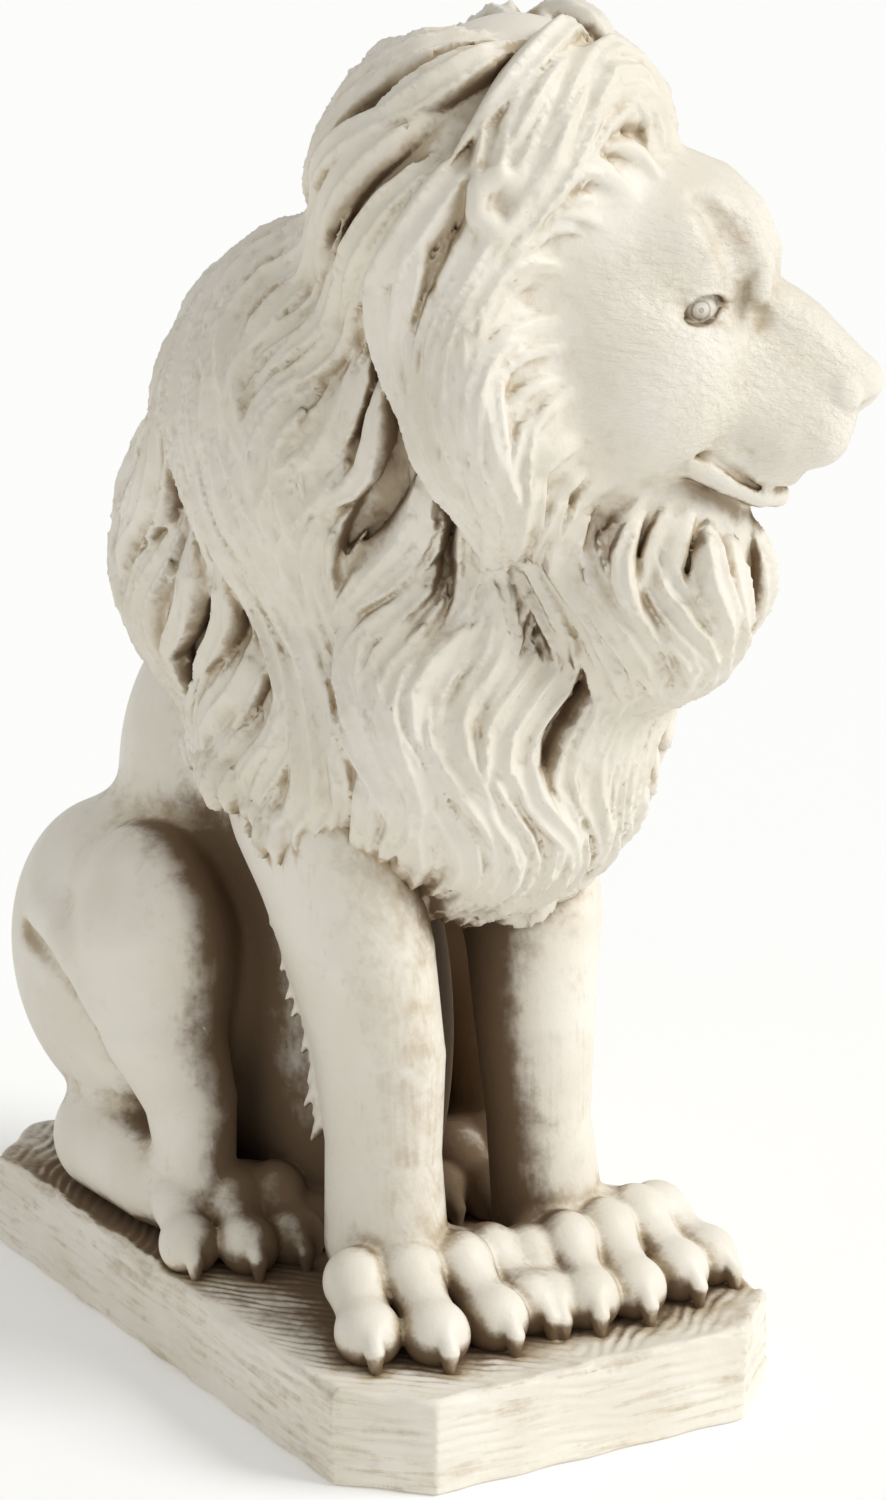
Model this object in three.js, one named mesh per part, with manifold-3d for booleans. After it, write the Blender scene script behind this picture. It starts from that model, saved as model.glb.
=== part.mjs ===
// A seated lion with its head turned to its left, cast in one piece with a low plinth that has
// cut corners. Millimetres, +Z up. The lion faces -Y and its left side is +X. The origin is the
// middle of the plinth's underside.
//
// The lion is carved as clay on a grid of distances: rounded forms are added and hollows are cut,
// each blended into the last, and the skin between clay and air is then drawn as triangles.

import * as THREE from "three";
import Module from "manifold-3d";

// Driving dimensions of the plinth.
const PLINTH_WIDTH = 269;
const PLINTH_LENGTH = 464;
const PLINTH_HEIGHT = 53;
const PLINTH_CORNER_CUT = 40; // the cut corner's run along each side
const PLINTH_EDGE_BEVEL = 5; // the worn top edge

// Driving dimensions of the lion. Its forms are given for a lion 690 mm tall, and scaled.
const LION_HEIGHT = 690;
const DRAWN_HEIGHT = 690;
const PAW_SINK = 4; // how far the paws and haunches are cast into the plinth

// The mane's locks, at the drawn size.
const LOCK_SPACING = 24; // between neighbours side by side
const LOCK_STRETCH = 3; // how much further apart they start along the hair
const LOCK_REACH = 180;
const LOCK_RADIUS = 16;
const LOCK_FLATNESS = 1.4; // a lock's width over its thickness
const LOCK_STEPS = 9;
const WAVE_LENGTH = 115; // of the waves that run through the whole mane
const HEM_AT_CHEST = 206; // the height at which the mane ends
const HEM_AT_SHOULDER = 292;

// How fine the carving is.
const CLAY_CELL = 5; // the grid's step
const SKIN_TRIANGLES = 9150; // what is left of the skin's triangles once flat stretches are thinned

const CAST_STONE = { color: 0xd9d2c0, roughness: 0.55, metalness: 0 };

// Vectors as plain arrays.
const add = (a, b) => [a[0] + b[0], a[1] + b[1], a[2] + b[2]];
const subtract = (a, b) => [a[0] - b[0], a[1] - b[1], a[2] - b[2]];
const times = (a, s) => [a[0] * s, a[1] * s, a[2] * s];
const dot = (a, b) => a[0] * b[0] + a[1] * b[1] + a[2] * b[2];
const cross = (a, b) => [
  a[1] * b[2] - a[2] * b[1],
  a[2] * b[0] - a[0] * b[2],
  a[0] * b[1] - a[1] * b[0],
];
const size3 = (x, y, z) => Math.sqrt(x * x + y * y + z * z);
const length = (a) => size3(a[0], a[1], a[2]);
const unit = (a) => times(a, 1 / (length(a) || 1));
const mix = (a, b, t) => a + (b - a) * t;
const mixPoint = (a, b, t) => [mix(a[0], b[0], t), mix(a[1], b[1], t), mix(a[2], b[2], t)];
const clamp = (x, low, high) => Math.min(high, Math.max(low, x));
const ease = (low, high, x) => {
  const t = clamp((x - low) / (high - low), 0, 1);
  return t * t * (3 - 2 * t);
};

// A frame of three unit axes at an origin, such as the turned head's.
function makeFrame(origin, x, y, z) {
  const along = (p) => add(add(times(x, p[0]), times(y, p[1])), times(z, p[2]));
  return {
    along,
    out: (p) => add(origin, along(p)),
    in: (p) => {
      const d = subtract(p, origin);
      return [dot(d, x), dot(d, y), dot(d, z)];
    },
  };
}

const BODY = makeFrame([0, 0, 0], [1, 0, 0], [0, 1, 0], [0, 0, 1]);

// The head's frame: +x runs out of the nose, +y to the lion's left, +z up.
const HEAD_TURN = (50 * Math.PI) / 180;
const HEAD_ORIGIN = [47, -143, 546];
const HEAD = makeFrame(
  HEAD_ORIGIN,
  [Math.sin(HEAD_TURN), -Math.cos(HEAD_TURN), 0],
  [Math.cos(HEAD_TURN), Math.sin(HEAD_TURN), 0],
  [0, 0, 1],
);

// Blended union of two distances: k is how wide the fillet between them is.
function blend(a, b, k) {
  const h = Math.max(k - Math.abs(a - b), 0) / k;
  return Math.min(a, b) - (h * h * k) / 4;
}

function boxAround(points, reach) {
  const low = [Infinity, Infinity, Infinity];
  const high = [-Infinity, -Infinity, -Infinity];
  for (const p of points)
    for (let i = 0; i < 3; i++) {
      low[i] = Math.min(low[i], p[i] - reach);
      high[i] = Math.max(high[i], p[i] + reach);
    }
  return { low, high };
}

// An egg-shaped form with its radii along the frame's axes.
function blob(frame, centre, [rx, ry, rz]) {
  return {
    box: boxAround([frame.out(centre)], Math.max(rx, ry, rz)),
    distance(p) {
      const [x, y, z] = subtract(frame.in(p), centre);
      const k0 = size3(x / rx, y / ry, z / rz);
      const k1 = size3(x / (rx * rx), y / (ry * ry), z / (rz * rz));
      return k1 < 1e-9 ? -Math.min(rx, ry, rz) : (k0 * (k0 - 1)) / k1;
    },
  };
}

// A tapering form along a line of points, each with its radius. wide widens it along the
// frame's axes.
function limb(frame, points, radii, wide = [1, 1, 1]) {
  const shrink = (p) => [p[0] / wide[0], p[1] / wide[1], p[2] / wide[2]];
  const pts = points.map(shrink);
  const most = Math.max(...radii) * Math.max(...wide);
  const least = Math.min(...wide);
  const runs = pts.slice(1).map((b, i) => ({
    a: pts[i],
    d: subtract(b, pts[i]),
    r0: radii[i],
    r1: radii[i + 1],
  }));
  for (const run of runs) run.dd = dot(run.d, run.d) || 1e-9;
  return {
    box: boxAround(points.map(frame.out), most),
    distance(p) {
      const q = shrink(frame.in(p));
      let best = Infinity;
      for (const { a, d, dd, r0, r1 } of runs) {
        const w = subtract(q, a);
        const t = clamp(dot(w, d) / dd, 0, 1);
        const e = length(subtract(w, times(d, t))) - mix(r0, r1, t);
        if (e < best) best = e;
      }
      return best * least;
    },
  };
}

// A lock of hair: a tapering form along a line of points, wider across the surface that it lies
// on than it is thick. normals are that surface's.
function ribbon(points, normals, radii, flatness) {
  const runs = points.slice(1).map((b, i) => {
    const d = subtract(b, points[i]);
    const side = unit(cross(add(normals[i], normals[i + 1]), d));
    return { a: points[i], d, dd: dot(d, d) || 1e-9, up: unit(cross(d, side)), r0: radii[i], r1: radii[i + 1] };
  });
  return {
    box: boxAround(points, Math.max(...radii)),
    distance(p) {
      let best = Infinity;
      for (const { a, d, dd, up, r0, r1 } of runs) {
        const w = subtract(p, a);
        const t = clamp(dot(w, d) / dd, 0, 1);
        const off = subtract(w, times(d, t));
        const high = dot(off, up);
        const wide = Math.max(dot(off, off) - high * high, 0);
        const e = Math.sqrt(wide + high * high * flatness * flatness) - mix(r0, r1, t);
        if (e < best) best = e;
      }
      return best / Math.sqrt(flatness);
    },
  };
}

// The clay: forms are added and cut in order, then distances to the surface are worked out on a
// cubic grid, negative inside. k is how wide the fillet between a form and the rest is.
function makeClay() {
  const steps = [];
  return {
    add: (shape, k) => steps.push({ shape, k, sign: 1 }),
    cut: (shape, k) => steps.push({ shape, k, sign: -1 }),
    fill(cell, bottom) {
      const added = steps.filter(({ sign }) => sign > 0);
      const low = [0, 1, 2].map((i) => Math.min(...added.map(({ shape }) => shape.box.low[i])) - 2 * cell);
      const high = [0, 1, 2].map((i) => Math.max(...added.map(({ shape }) => shape.box.high[i])) + 2 * cell);
      low[2] = bottom - 2 * cell;
      const size = [0, 1, 2].map((i) => Math.ceil((high[i] - low[i]) / cell) + 1);
      const far = 1e3;
      const field = new Float32Array(size[0] * size[1] * size[2]).fill(far);
      for (const { shape, k, sign } of steps) {
        const reach = k + 2 * cell;
        const place = (x, i) => clamp(Math.round((x - low[i]) / cell), 0, size[i] - 1);
        const from = shape.box.low.map((x, i) => place(x - reach, i));
        const to = shape.box.high.map((x, i) => place(x + reach, i));
        for (let n = from[2]; n <= to[2]; n++)
          for (let m = from[1]; m <= to[1]; m++)
            for (let l = from[0]; l <= to[0]; l++) {
              const at = l + size[0] * (m + size[1] * n);
              const d = shape.distance([low[0] + l * cell, low[1] + m * cell, low[2] + n * cell]);
              field[at] = sign * blend(sign * field[at], d, k);
            }
      }
      for (let at = 0; at < field.length; at++) {
        const z = low[2] + cell * Math.floor(at / (size[0] * size[1]));
        field[at] = Math.max(field[at], bottom - z);
      }
      return { low, cell, size, field };
    },
  };
}

// Trunk: rump, ribs, chest and the belly wall that runs down to the plinth between the legs.
function carveTrunk(clay) {
  clay.add(blob(BODY, [0, 130, 106], [84, 84, 116]), 20);
  clay.add(blob(BODY, [0, 108, 228], [83, 91, 112]), 30);
  clay.add(blob(BODY, [0, 10, 320], [84, 90, 115]), 36);
  clay.add(blob(BODY, [0, -46, 300], [70, 58, 100]), 36);
  clay.add(blob(BODY, [0, 36, 110], [55, 84, 150]), 30);
}

// A foreleg: shoulder, elbow, forearm and wrist.
function carveForeleg(clay, side) {
  const at = (x, y, z) => [side * x, y, z];
  const deep = side < 0 ? 1.5 : 1.15;
  clay.add(blob(BODY, at(60, -38, 300), [38, 60, 88]), 30);
  clay.add(
    limb(
      BODY,
      [at(58, -56, 250), at(54, -80, 195), at(48, -92, 140), at(48, -97, 85), at(50, -104, 30)],
      [38, 33, 28, 26, 29],
      [1, deep, 1],
    ),
    14,
  );
  clay.add(blob(BODY, at(50, -52, 200), [20, 30, 32]), 16); // the elbow
}

// A paw: each toe runs from the wrist over a knuckle to a rounded end with a hooked claw.
function carvePaw(clay, { wrist, knuckles, ends, size }) {
  const heel = mixPoint(wrist, knuckles[1], 0.1);
  for (const knuckle of knuckles) {
    const middle = mixPoint(heel, knuckle, 0.55);
    clay.add(limb(BODY, [heel, middle, knuckle], [size * 1.1, size, size * 0.86]), 8);
  }
  for (const [i, knuckle] of knuckles.entries()) {
    const end = ends[i];
    const ahead = unit([end[0] - knuckle[0], end[1] - knuckle[1], 0]);
    const from = (p, forward, up) => add(add(p, times(ahead, forward)), [0, 0, up]);
    const middle = mixPoint(knuckle, end, 0.5);
    clay.add(limb(BODY, [knuckle, middle, end], [size * 0.98, size * 0.8, size * 0.9]), 2.5);
    clay.add(blob(BODY, from(knuckle, -2, 2), [size, size * 1.08, size]), 3);
    clay.add(blob(BODY, from(end, 2, 1), [size, size * 1.08, size]), 3);
    const claw = [from(end, size * 0.8, size * 0.3), from(end, size * 1.22, -size * 0.1), from(end, size * 1.3, -size * 0.8)];
    clay.add(limb(BODY, claw, [size * 0.38, size * 0.34, size * 0.16]), 1.5);
  }
}

// A hind leg: haunch, knee, shin, the hock that rests behind the paw, the fold of skin between
// thigh and ribs, and the crease between thigh and shin.
function carveHindLeg(clay, side) {
  const at = (...points) => points.map(([x, y, z]) => [side * x, y, z]);
  clay.add(blob(BODY, [side * 76, 133, 127], [58, 96, 91]), 20);
  clay.add(blob(BODY, [side * 97, 68, 164], [37, 58, 60]), 16);
  const shin = at([100, 62, 161], [102, 46, 118], [95, 31, 80], [94, 26, 44]);
  clay.add(limb(BODY, shin, [40, 33, 25, 21], [1, 1.1, 1]), 10);
  clay.add(limb(BODY, at([96, 120, 30], [98, 60, 26], [94, 20, 22]), [34, 28, 22]), 12);
  const crease = at([126, 157, 145], [134, 111, 139], [134, 91, 131], [129, 72, 113], [120, 66, 85], [112, 49, 66]);
  clay.cut(limb(BODY, crease, [2, 4, 5, 4, 4, 2]), 10);
}

// An eye: a ball between two lids, which part in an almond. Its frame has x towards the inner
// corner, y out of the eye and z up.
function carveEye(clay, side) {
  const x = unit([19, -side * 10, 8]);
  const y = times(unit(cross([0, 0, 1], x)), side);
  const z = times(cross(x, y), side);
  const centre = [57, side * 29, -1];
  const frame = makeFrame(HEAD.out(centre), HEAD.along(x), HEAD.along(y), HEAD.along(z));
  const ARCH = 15; // the radius of both lids' edges
  const DROP = 10.2; // how far the arcs' centres lie from the eye's middle
  const almond = {
    box: boxAround([frame.out([0, 12, 0])], 16),
    distance(p) {
      const q = frame.in(p);
      const over = size3(q[0], q[2] + DROP, 0) - ARCH;
      const under = size3(q[0], q[2] - DROP, 0) - ARCH;
      return Math.max(over, under, 6 - q[1]);
    },
  };
  clay.add(blob(frame, [0, 0, 0], [17, 14.5, 13.5]), 5);
  clay.cut(almond, 1);
  clay.add(blob(frame, [0, 0, 0], [12.3, 12.3, 12.3]), 1);
}

// The face and skull, in the head's frame.
function carveHead(clay) {
  const eachSide = (points) => [-1, 1].map((side) => points.map(([f, l, u]) => [f, side * l, u]));
  const pair = (points, radii, k) => {
    for (const line of eachSide(points)) clay.add(limb(HEAD, line, radii), k);
  };
  const pairOfBlobs = (centre, radii, k) => {
    for (const [c] of eachSide([centre])) clay.add(blob(HEAD, c, radii), k);
  };
  const cutPair = (points, radii, k) => {
    for (const line of eachSide(points)) clay.cut(limb(HEAD, line, radii), k);
  };
  clay.add(blob(HEAD, [-6, 0, 4], [76, 62, 80]), 16);
  pairOfBlobs([47, 17, 27], [37, 29, 38], 12); // forehead
  pairOfBlobs([20, 38, -42], [54, 29, 46], 18); // cheeks
  pairOfBlobs([42, 36, -22], [36, 18, 17], 14); // cheek bones
  const bridge = [[70, 0, 0], [104, 0, -21.5], [131, 0, -43]];
  clay.add(limb(HEAD, bridge, [23, 21, 17], [1, 1.08, 1]), 6);
  pair([[66, 24, -20], [96, 14, -36], [118, 9, -50]], [17, 15, 14], 10); // sides of the nose
  pair([[36, 31, -46], [78, 21, -51], [112, 11, -58]], [23, 21, 20], 10); // upper jaw
  pair([[78, 22, -58], [98, 17, -70], [117, 12, -68]], [17, 20, 18], 9); // whisker pads
  const lip = [[44, 37, -68], [60, 38, -67], [74, 33, -74], [88, 25, -85], [103, 14, -88]];
  pair(lip, [4, 6, 7, 8, 8], 6);
  clay.add(limb(HEAD, [[30, 0, -82], [84, 0, -95]], [30, 15], [1, 1.15, 1]), 3); // lower jaw
  clay.add(limb(HEAD, [[36, 0, -72], [86, 0, -84]], [32, 18], [1, 1.1, 1]), 3);
  const lowerLip = [[38, 37, -77], [60, 34, -81], [76, 27, -92], [90, 14, -101], [96, 0, -104]];
  pair(lowerLip, [5, 6, 6, 6, 6], 3);
  pair([[83, 9, 15], [79, 18, 23], [69, 29, 31], [52, 40, 33]], [11, 11, 9, 7], 6); // brows
  cutPair([[90, 26, -6], [76, 42, 2], [56, 50, 4]], [3, 6, 3], 8); // eye sockets
  for (const side of [-1, 1]) carveEye(clay, side);
  clay.add(blob(HEAD, [137, 0, -45], [12, 17, 13]), 3); // nose leather
  pairOfBlobs([127, 13, -51], [12, 9, 10], 3); // nostril wings
  cutPair([[149, 7, -53], [131, 15, -60]], [3, 3.5], 2); // nostrils
  pair([[-22, 66, 44], [-38, 78, 52], [-38, 80, 70], [-20, 74, 74]], [9, 8, 7, 5], 3); // ears
}

// The smooth volume that the mane's locks lie on.
const MANE_MASS = [
  blob(HEAD, [-39, 2, 50], [72, 80, 92]), // crown
  blob(HEAD, [0, 0, 50], [39, 46, 42]), // forelock
  blob(HEAD, [-74, 4, 38], [57, 78, 69]), // back of the head
  blob(HEAD, [-30, 0, -50], [70, 92, 80]), // behind the cheeks
  blob(BODY, [-9, -22, 450], [104, 105, 115]), // nape
  blob(BODY, [-7, 32, 378], [104, 99, 96]), // shoulders
  blob(BODY, [46, -36, 388], [66, 86, 112]), // left shoulder, under the head
  blob(BODY, [18, -96, 318], [92, 68, 102]), // chest
  blob(HEAD, [38, 0, -135], [51, 54, 68]), // beard
];
const MANE_BLEND = 40;
const MANE_BOX = boxAround(MANE_MASS.flatMap(({ box }) => [box.low, box.high]), 0);
const maneDistance = (p) =>
  MANE_MASS.reduce((d, shape) => (d === null ? shape.distance(p) : blend(d, shape.distance(p), MANE_BLEND)), null);

function maneNormal(p) {
  const e = 1.5;
  return unit([
    maneDistance([p[0] + e, p[1], p[2]]) - maneDistance([p[0] - e, p[1], p[2]]),
    maneDistance([p[0], p[1] + e, p[2]]) - maneDistance([p[0], p[1] - e, p[2]]),
    maneDistance([p[0], p[1], p[2] + e]) - maneDistance([p[0], p[1], p[2] - e]),
  ]);
}

// Draws a point onto the mane's smooth volume.
function ontoMane(p) {
  for (let i = 0; i < 4; i++) p = subtract(p, times(maneNormal(p), maneDistance(p)));
  return p;
}

// Hair leaves the face on all sides and falls as it gets further from it.
const FACE_CENTRE = HEAD.out([60, 0, -20]);
function hairFlow(p, n) {
  const away = subtract(p, FACE_CENTRE);
  const fall = ease(60, 240, length(away));
  const wish = add(times(unit(away), mix(1, 0.3, fall)), [0, 0, -mix(0.35, 1.1, fall)]);
  return unit(subtract(wish, times(n, dot(wish, n))));
}

// The mane ends in a slanting hem, from the shoulders down to the chest.
const hem = (p) => mix(HEM_AT_CHEST, HEM_AT_SHOULDER, ease(-110, 100, p[1]));

// No lock starts on the face, which has an oval edge in front of the cheeks.
function inFace(p) {
  const [f, l, u] = HEAD.in(p);
  return f > 20 && size3(l / 90, (u + 18) / 75, 0) < 1;
}

// A repeatable stream of numbers from 0 to 1.
function makeDice(seed) {
  let state = seed >>> 0;
  return () => {
    state = (Math.imul(state, 1664525) + 1013904223) >>> 0;
    return state / 4294967296;
  };
}

// Where locks start: thrown points that stay apart, further along the hair than across it.
function lockRoots() {
  const dice = makeDice(7);
  const roots = [];
  for (let i = 0; i < 7000; i++) {
    const thrown = MANE_BOX.low.map((low, axis) => mix(low, MANE_BOX.high[axis], dice()));
    if (Math.abs(maneDistance(thrown)) > 60) continue;
    const p = ontoMane(thrown);
    if (Math.abs(maneDistance(p)) > 2 || inFace(p) || p[2] < hem(p) + 45) continue;
    const flow = hairFlow(p, maneNormal(p));
    const clear = roots.every((q) => {
      const d = subtract(q, p);
      const along = dot(d, flow);
      return dot(d, d) + along * along * (1 / LOCK_STRETCH ** 2 - 1) > LOCK_SPACING ** 2;
    });
    if (clear) roots.push(p);
  }
  return roots;
}

// One lock: it starts inside the mane, rises out of it, waves to both sides of the hair's flow in
// step with its neighbours, and ends in a lifted tip, at the hem at the latest.
function makeLock(root, dice) {
  const step = (LOCK_REACH * mix(0.8, 1.2, dice())) / LOCK_STEPS;
  const wave = mix(0.4, 0.75, dice());
  const phase = mix(-0.5, 0.5, dice());
  const girth = LOCK_RADIUS * mix(0.8, 1.2, dice());
  const points = [];
  const normals = [];
  const radii = [];
  let p = root;
  for (let i = 0; i <= LOCK_STEPS; i++) {
    const t = i / LOCK_STEPS;
    const n = maneNormal(p);
    points.push(add(p, times(n, mix(-14, 1, ease(0, 0.4, t)) + 4 * t)));
    normals.push(n);
    radii.push(girth * mix(0.3, 1, ease(0, 0.35, t)) * mix(1, 0.12, ease(0.5, 1, t)));
    const flow = hairFlow(p, n);
    const side = cross(n, flow);
    const turn = wave * Math.sin((2 * Math.PI * length(subtract(p, FACE_CENTRE))) / WAVE_LENGTH + phase);
    const way = add(times(flow, Math.cos(turn)), times(side, Math.sin(turn)));
    p = add(p, times(way, p[2] > hem(p) ? step : 0.5));
    p = subtract(p, times(maneNormal(p), maneDistance(p)));
  }
  return ribbon(points, normals, radii, LOCK_FLATNESS);
}

// The locks lie on the mane's smooth volume, sunk a little so that they stand out from it.
function carveMane(clay) {
  const SUNK = 4;
  clay.add({ box: MANE_BOX, distance: (p) => maneDistance(p) + SUNK }, 10);
  const dice = makeDice(11);
  for (const root of lockRoots()) clay.add(makeLock(root, dice), 2);
}

const RIGHT_PAW = {
  wrist: [-50, -106, 31],
  knuckles: [[-84, -132, 26], [-58, -144, 29], [-29, -146, 29], [-6, -138, 26]],
  ends: [[-95, -162, 12], [-65, -180, 12], [-29, -178, 12], [-3, -168, 12]],
  size: 16.5,
};
const LEFT_PAW = {
  wrist: [50, -102, 31],
  knuckles: [[14, -142, 23], [35, -148, 28], [61, -145, 29], [86, -138, 30], [104, -131, 26]],
  ends: [[9, -171, 10], [28, -179, 12], [56, -180, 12], [88, -171, 12], [113, -160, 11]],
  size: 16,
};
const hindPaw = (side) => {
  const place = ([x, y, z]) => [side * x, y, z];
  return {
    wrist: place([96, 36, 27]),
    knuckles: [[108, 18, 24], [83, 7, 26], [57, 4, 25], [38, 14, 21]].map(place),
    ends: [[116, -5, 11], [90, -24, 12], [62, -24, 11], [38, -8, 10]].map(place),
    size: 15.5,
  };
};

// The tail lies on the plinth along the left haunch and ends in a tuft.
function carveTail(clay) {
  const line = [
    [6, 205, 44],
    [34, 213, 20],
    [78, 207, 11],
    [112, 180, 9],
    [121, 140, 9],
    [119, 100, 9],
  ];
  clay.add(limb(BODY, line, [16, 13, 11, 11, 10, 10]), 8);
  clay.add(limb(BODY, [[119, 104, 9], [116, 80, 11], [112, 56, 5]], [11, 15, 5]), 6);
}

function carveLion() {
  const clay = makeClay();
  carveTrunk(clay);
  for (const side of [-1, 1]) {
    carveHindLeg(clay, side);
    carvePaw(clay, hindPaw(side));
    carveForeleg(clay, side);
  }
  carvePaw(clay, RIGHT_PAW);
  carvePaw(clay, LEFT_PAW);
  carveTail(clay);
  carveMane(clay);
  carveHead(clay);
  return clay.fill(CLAY_CELL, -PAW_SINK);
}

// The six tetrahedra that share a cube's long diagonal, by the cube's corners 0 to 7.
const TETRAHEDRA = [
  [0, 1, 3, 7],
  [0, 3, 2, 7],
  [0, 2, 6, 7],
  [0, 6, 4, 7],
  [0, 4, 5, 7],
  [0, 5, 1, 7],
];

// The skin where the clay's distance is zero, as a closed mesh of triangles.
function skinOf({ low, cell, size, field }) {
  const [nx, ny, nz] = size;
  const points = [];
  const faces = [];
  const seen = new Map();
  const corner = [0, 1, 2, 3, 4, 5, 6, 7].map((c) => (c & 1) + nx * (((c >> 1) & 1) + ny * (c >> 2)));
  const count = nx * ny * nz;
  const pointOn = (a, b) => {
    const key = a < b ? a * count + b : b * count + a;
    let at = seen.get(key);
    if (at !== undefined) return at;
    const t = clamp(field[a] / (field[a] - field[b]), 0.02, 0.98);
    const place = (n) => [n % nx, Math.floor(n / nx) % ny, Math.floor(n / (nx * ny))];
    const q = mixPoint(place(a), place(b), t);
    at = points.length / 3;
    points.push(low[0] + q[0] * cell, low[1] + q[1] * cell, low[2] + q[2] * cell);
    seen.set(key, at);
    return at;
  };
  for (let k = 0; k < nz - 1; k++)
    for (let j = 0; j < ny - 1; j++)
      for (let i = 0; i < nx - 1; i++) {
        const base = i + nx * (j + ny * k);
        let inside = 0;
        for (let c = 0; c < 8; c++) if (field[base + corner[c]] < 0) inside++;
        if (inside === 0 || inside === 8) continue;
        for (const tetrahedron of TETRAHEDRA) {
          const ids = tetrahedron.map((c) => base + corner[c]);
          const wet = ids.filter((n) => field[n] < 0);
          const dry = ids.filter((n) => field[n] >= 0);
          if (!wet.length || !dry.length) continue;
          // An even order of the four corners keeps the faces turned outwards.
          const order = [...wet, ...dry].map((n) => ids.indexOf(n));
          let swaps = 0;
          for (let a = 0; a < 4; a++) for (let b = a + 1; b < 4; b++) if (order[a] > order[b]) swaps++;
          const flip = swaps % 2 === 1;
          const push = (a, b, c) => (flip ? faces.push(a, c, b) : faces.push(a, b, c));
          if (wet.length === 1) {
            push(pointOn(wet[0], dry[0]), pointOn(wet[0], dry[1]), pointOn(wet[0], dry[2]));
          } else if (wet.length === 3) {
            push(pointOn(wet[0], dry[0]), pointOn(wet[1], dry[0]), pointOn(wet[2], dry[0]));
          } else {
            const a = pointOn(wet[0], dry[0]);
            const b = pointOn(wet[0], dry[1]);
            const c = pointOn(wet[1], dry[1]);
            const d = pointOn(wet[1], dry[0]);
            push(a, b, c);
            push(a, c, d);
          }
        }
      }
  return { points: Float64Array.from(points), faces: Uint32Array.from(faces) };
}

// Keeps the largest connected skin, so that no bubble is left inside the clay.
function largestSkin({ points, faces }) {
  const parent = Uint32Array.from({ length: points.length / 3 }, (_, i) => i);
  const rootOf = (i) => {
    while (parent[i] !== i) {
      parent[i] = parent[parent[i]];
      i = parent[i];
    }
    return i;
  };
  for (let f = 0; f < faces.length; f += 3) {
    parent[rootOf(faces[f])] = rootOf(faces[f + 1]);
    parent[rootOf(faces[f + 1])] = rootOf(faces[f + 2]);
  }
  const counts = new Map();
  for (let f = 0; f < faces.length; f += 3) {
    const r = rootOf(faces[f]);
    counts.set(r, (counts.get(r) ?? 0) + 1);
  }
  const most = [...counts].reduce((a, b) => (b[1] > a[1] ? b : a))[0];
  const moved = new Map();
  const keptPoints = [];
  const keptFaces = [];
  for (let f = 0; f < faces.length; f += 3) {
    if (rootOf(faces[f]) !== most) continue;
    for (let c = 0; c < 3; c++) {
      const v = faces[f + c];
      if (!moved.has(v)) {
        moved.set(v, keptPoints.length / 3);
        keptPoints.push(points[3 * v], points[3 * v + 1], points[3 * v + 2]);
      }
      keptFaces.push(moved.get(v));
    }
  }
  return { points: keptPoints, faces: keptFaces };
}

// A heap of edges, the cheapest to merge on top.
function makeHeap() {
  const items = [];
  const swap = (a, b) => {
    const t = items[a];
    items[a] = items[b];
    items[b] = t;
  };
  return {
    push(item) {
      let i = items.push(item) - 1;
      while (i > 0) {
        const up = (i - 1) >> 1;
        if (items[up].cost <= items[i].cost) break;
        swap(i, up);
        i = up;
      }
    },
    pop() {
      const top = items[0];
      const last = items.pop();
      if (items.length) {
        items[0] = last;
        let i = 0;
        for (;;) {
          let low = i;
          for (const child of [2 * i + 1, 2 * i + 2])
            if (child < items.length && items[child].cost < items[low].cost) low = child;
          if (low === i) break;
          swap(i, low);
          i = low;
        }
      }
      return top;
    },
  };
}

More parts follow.
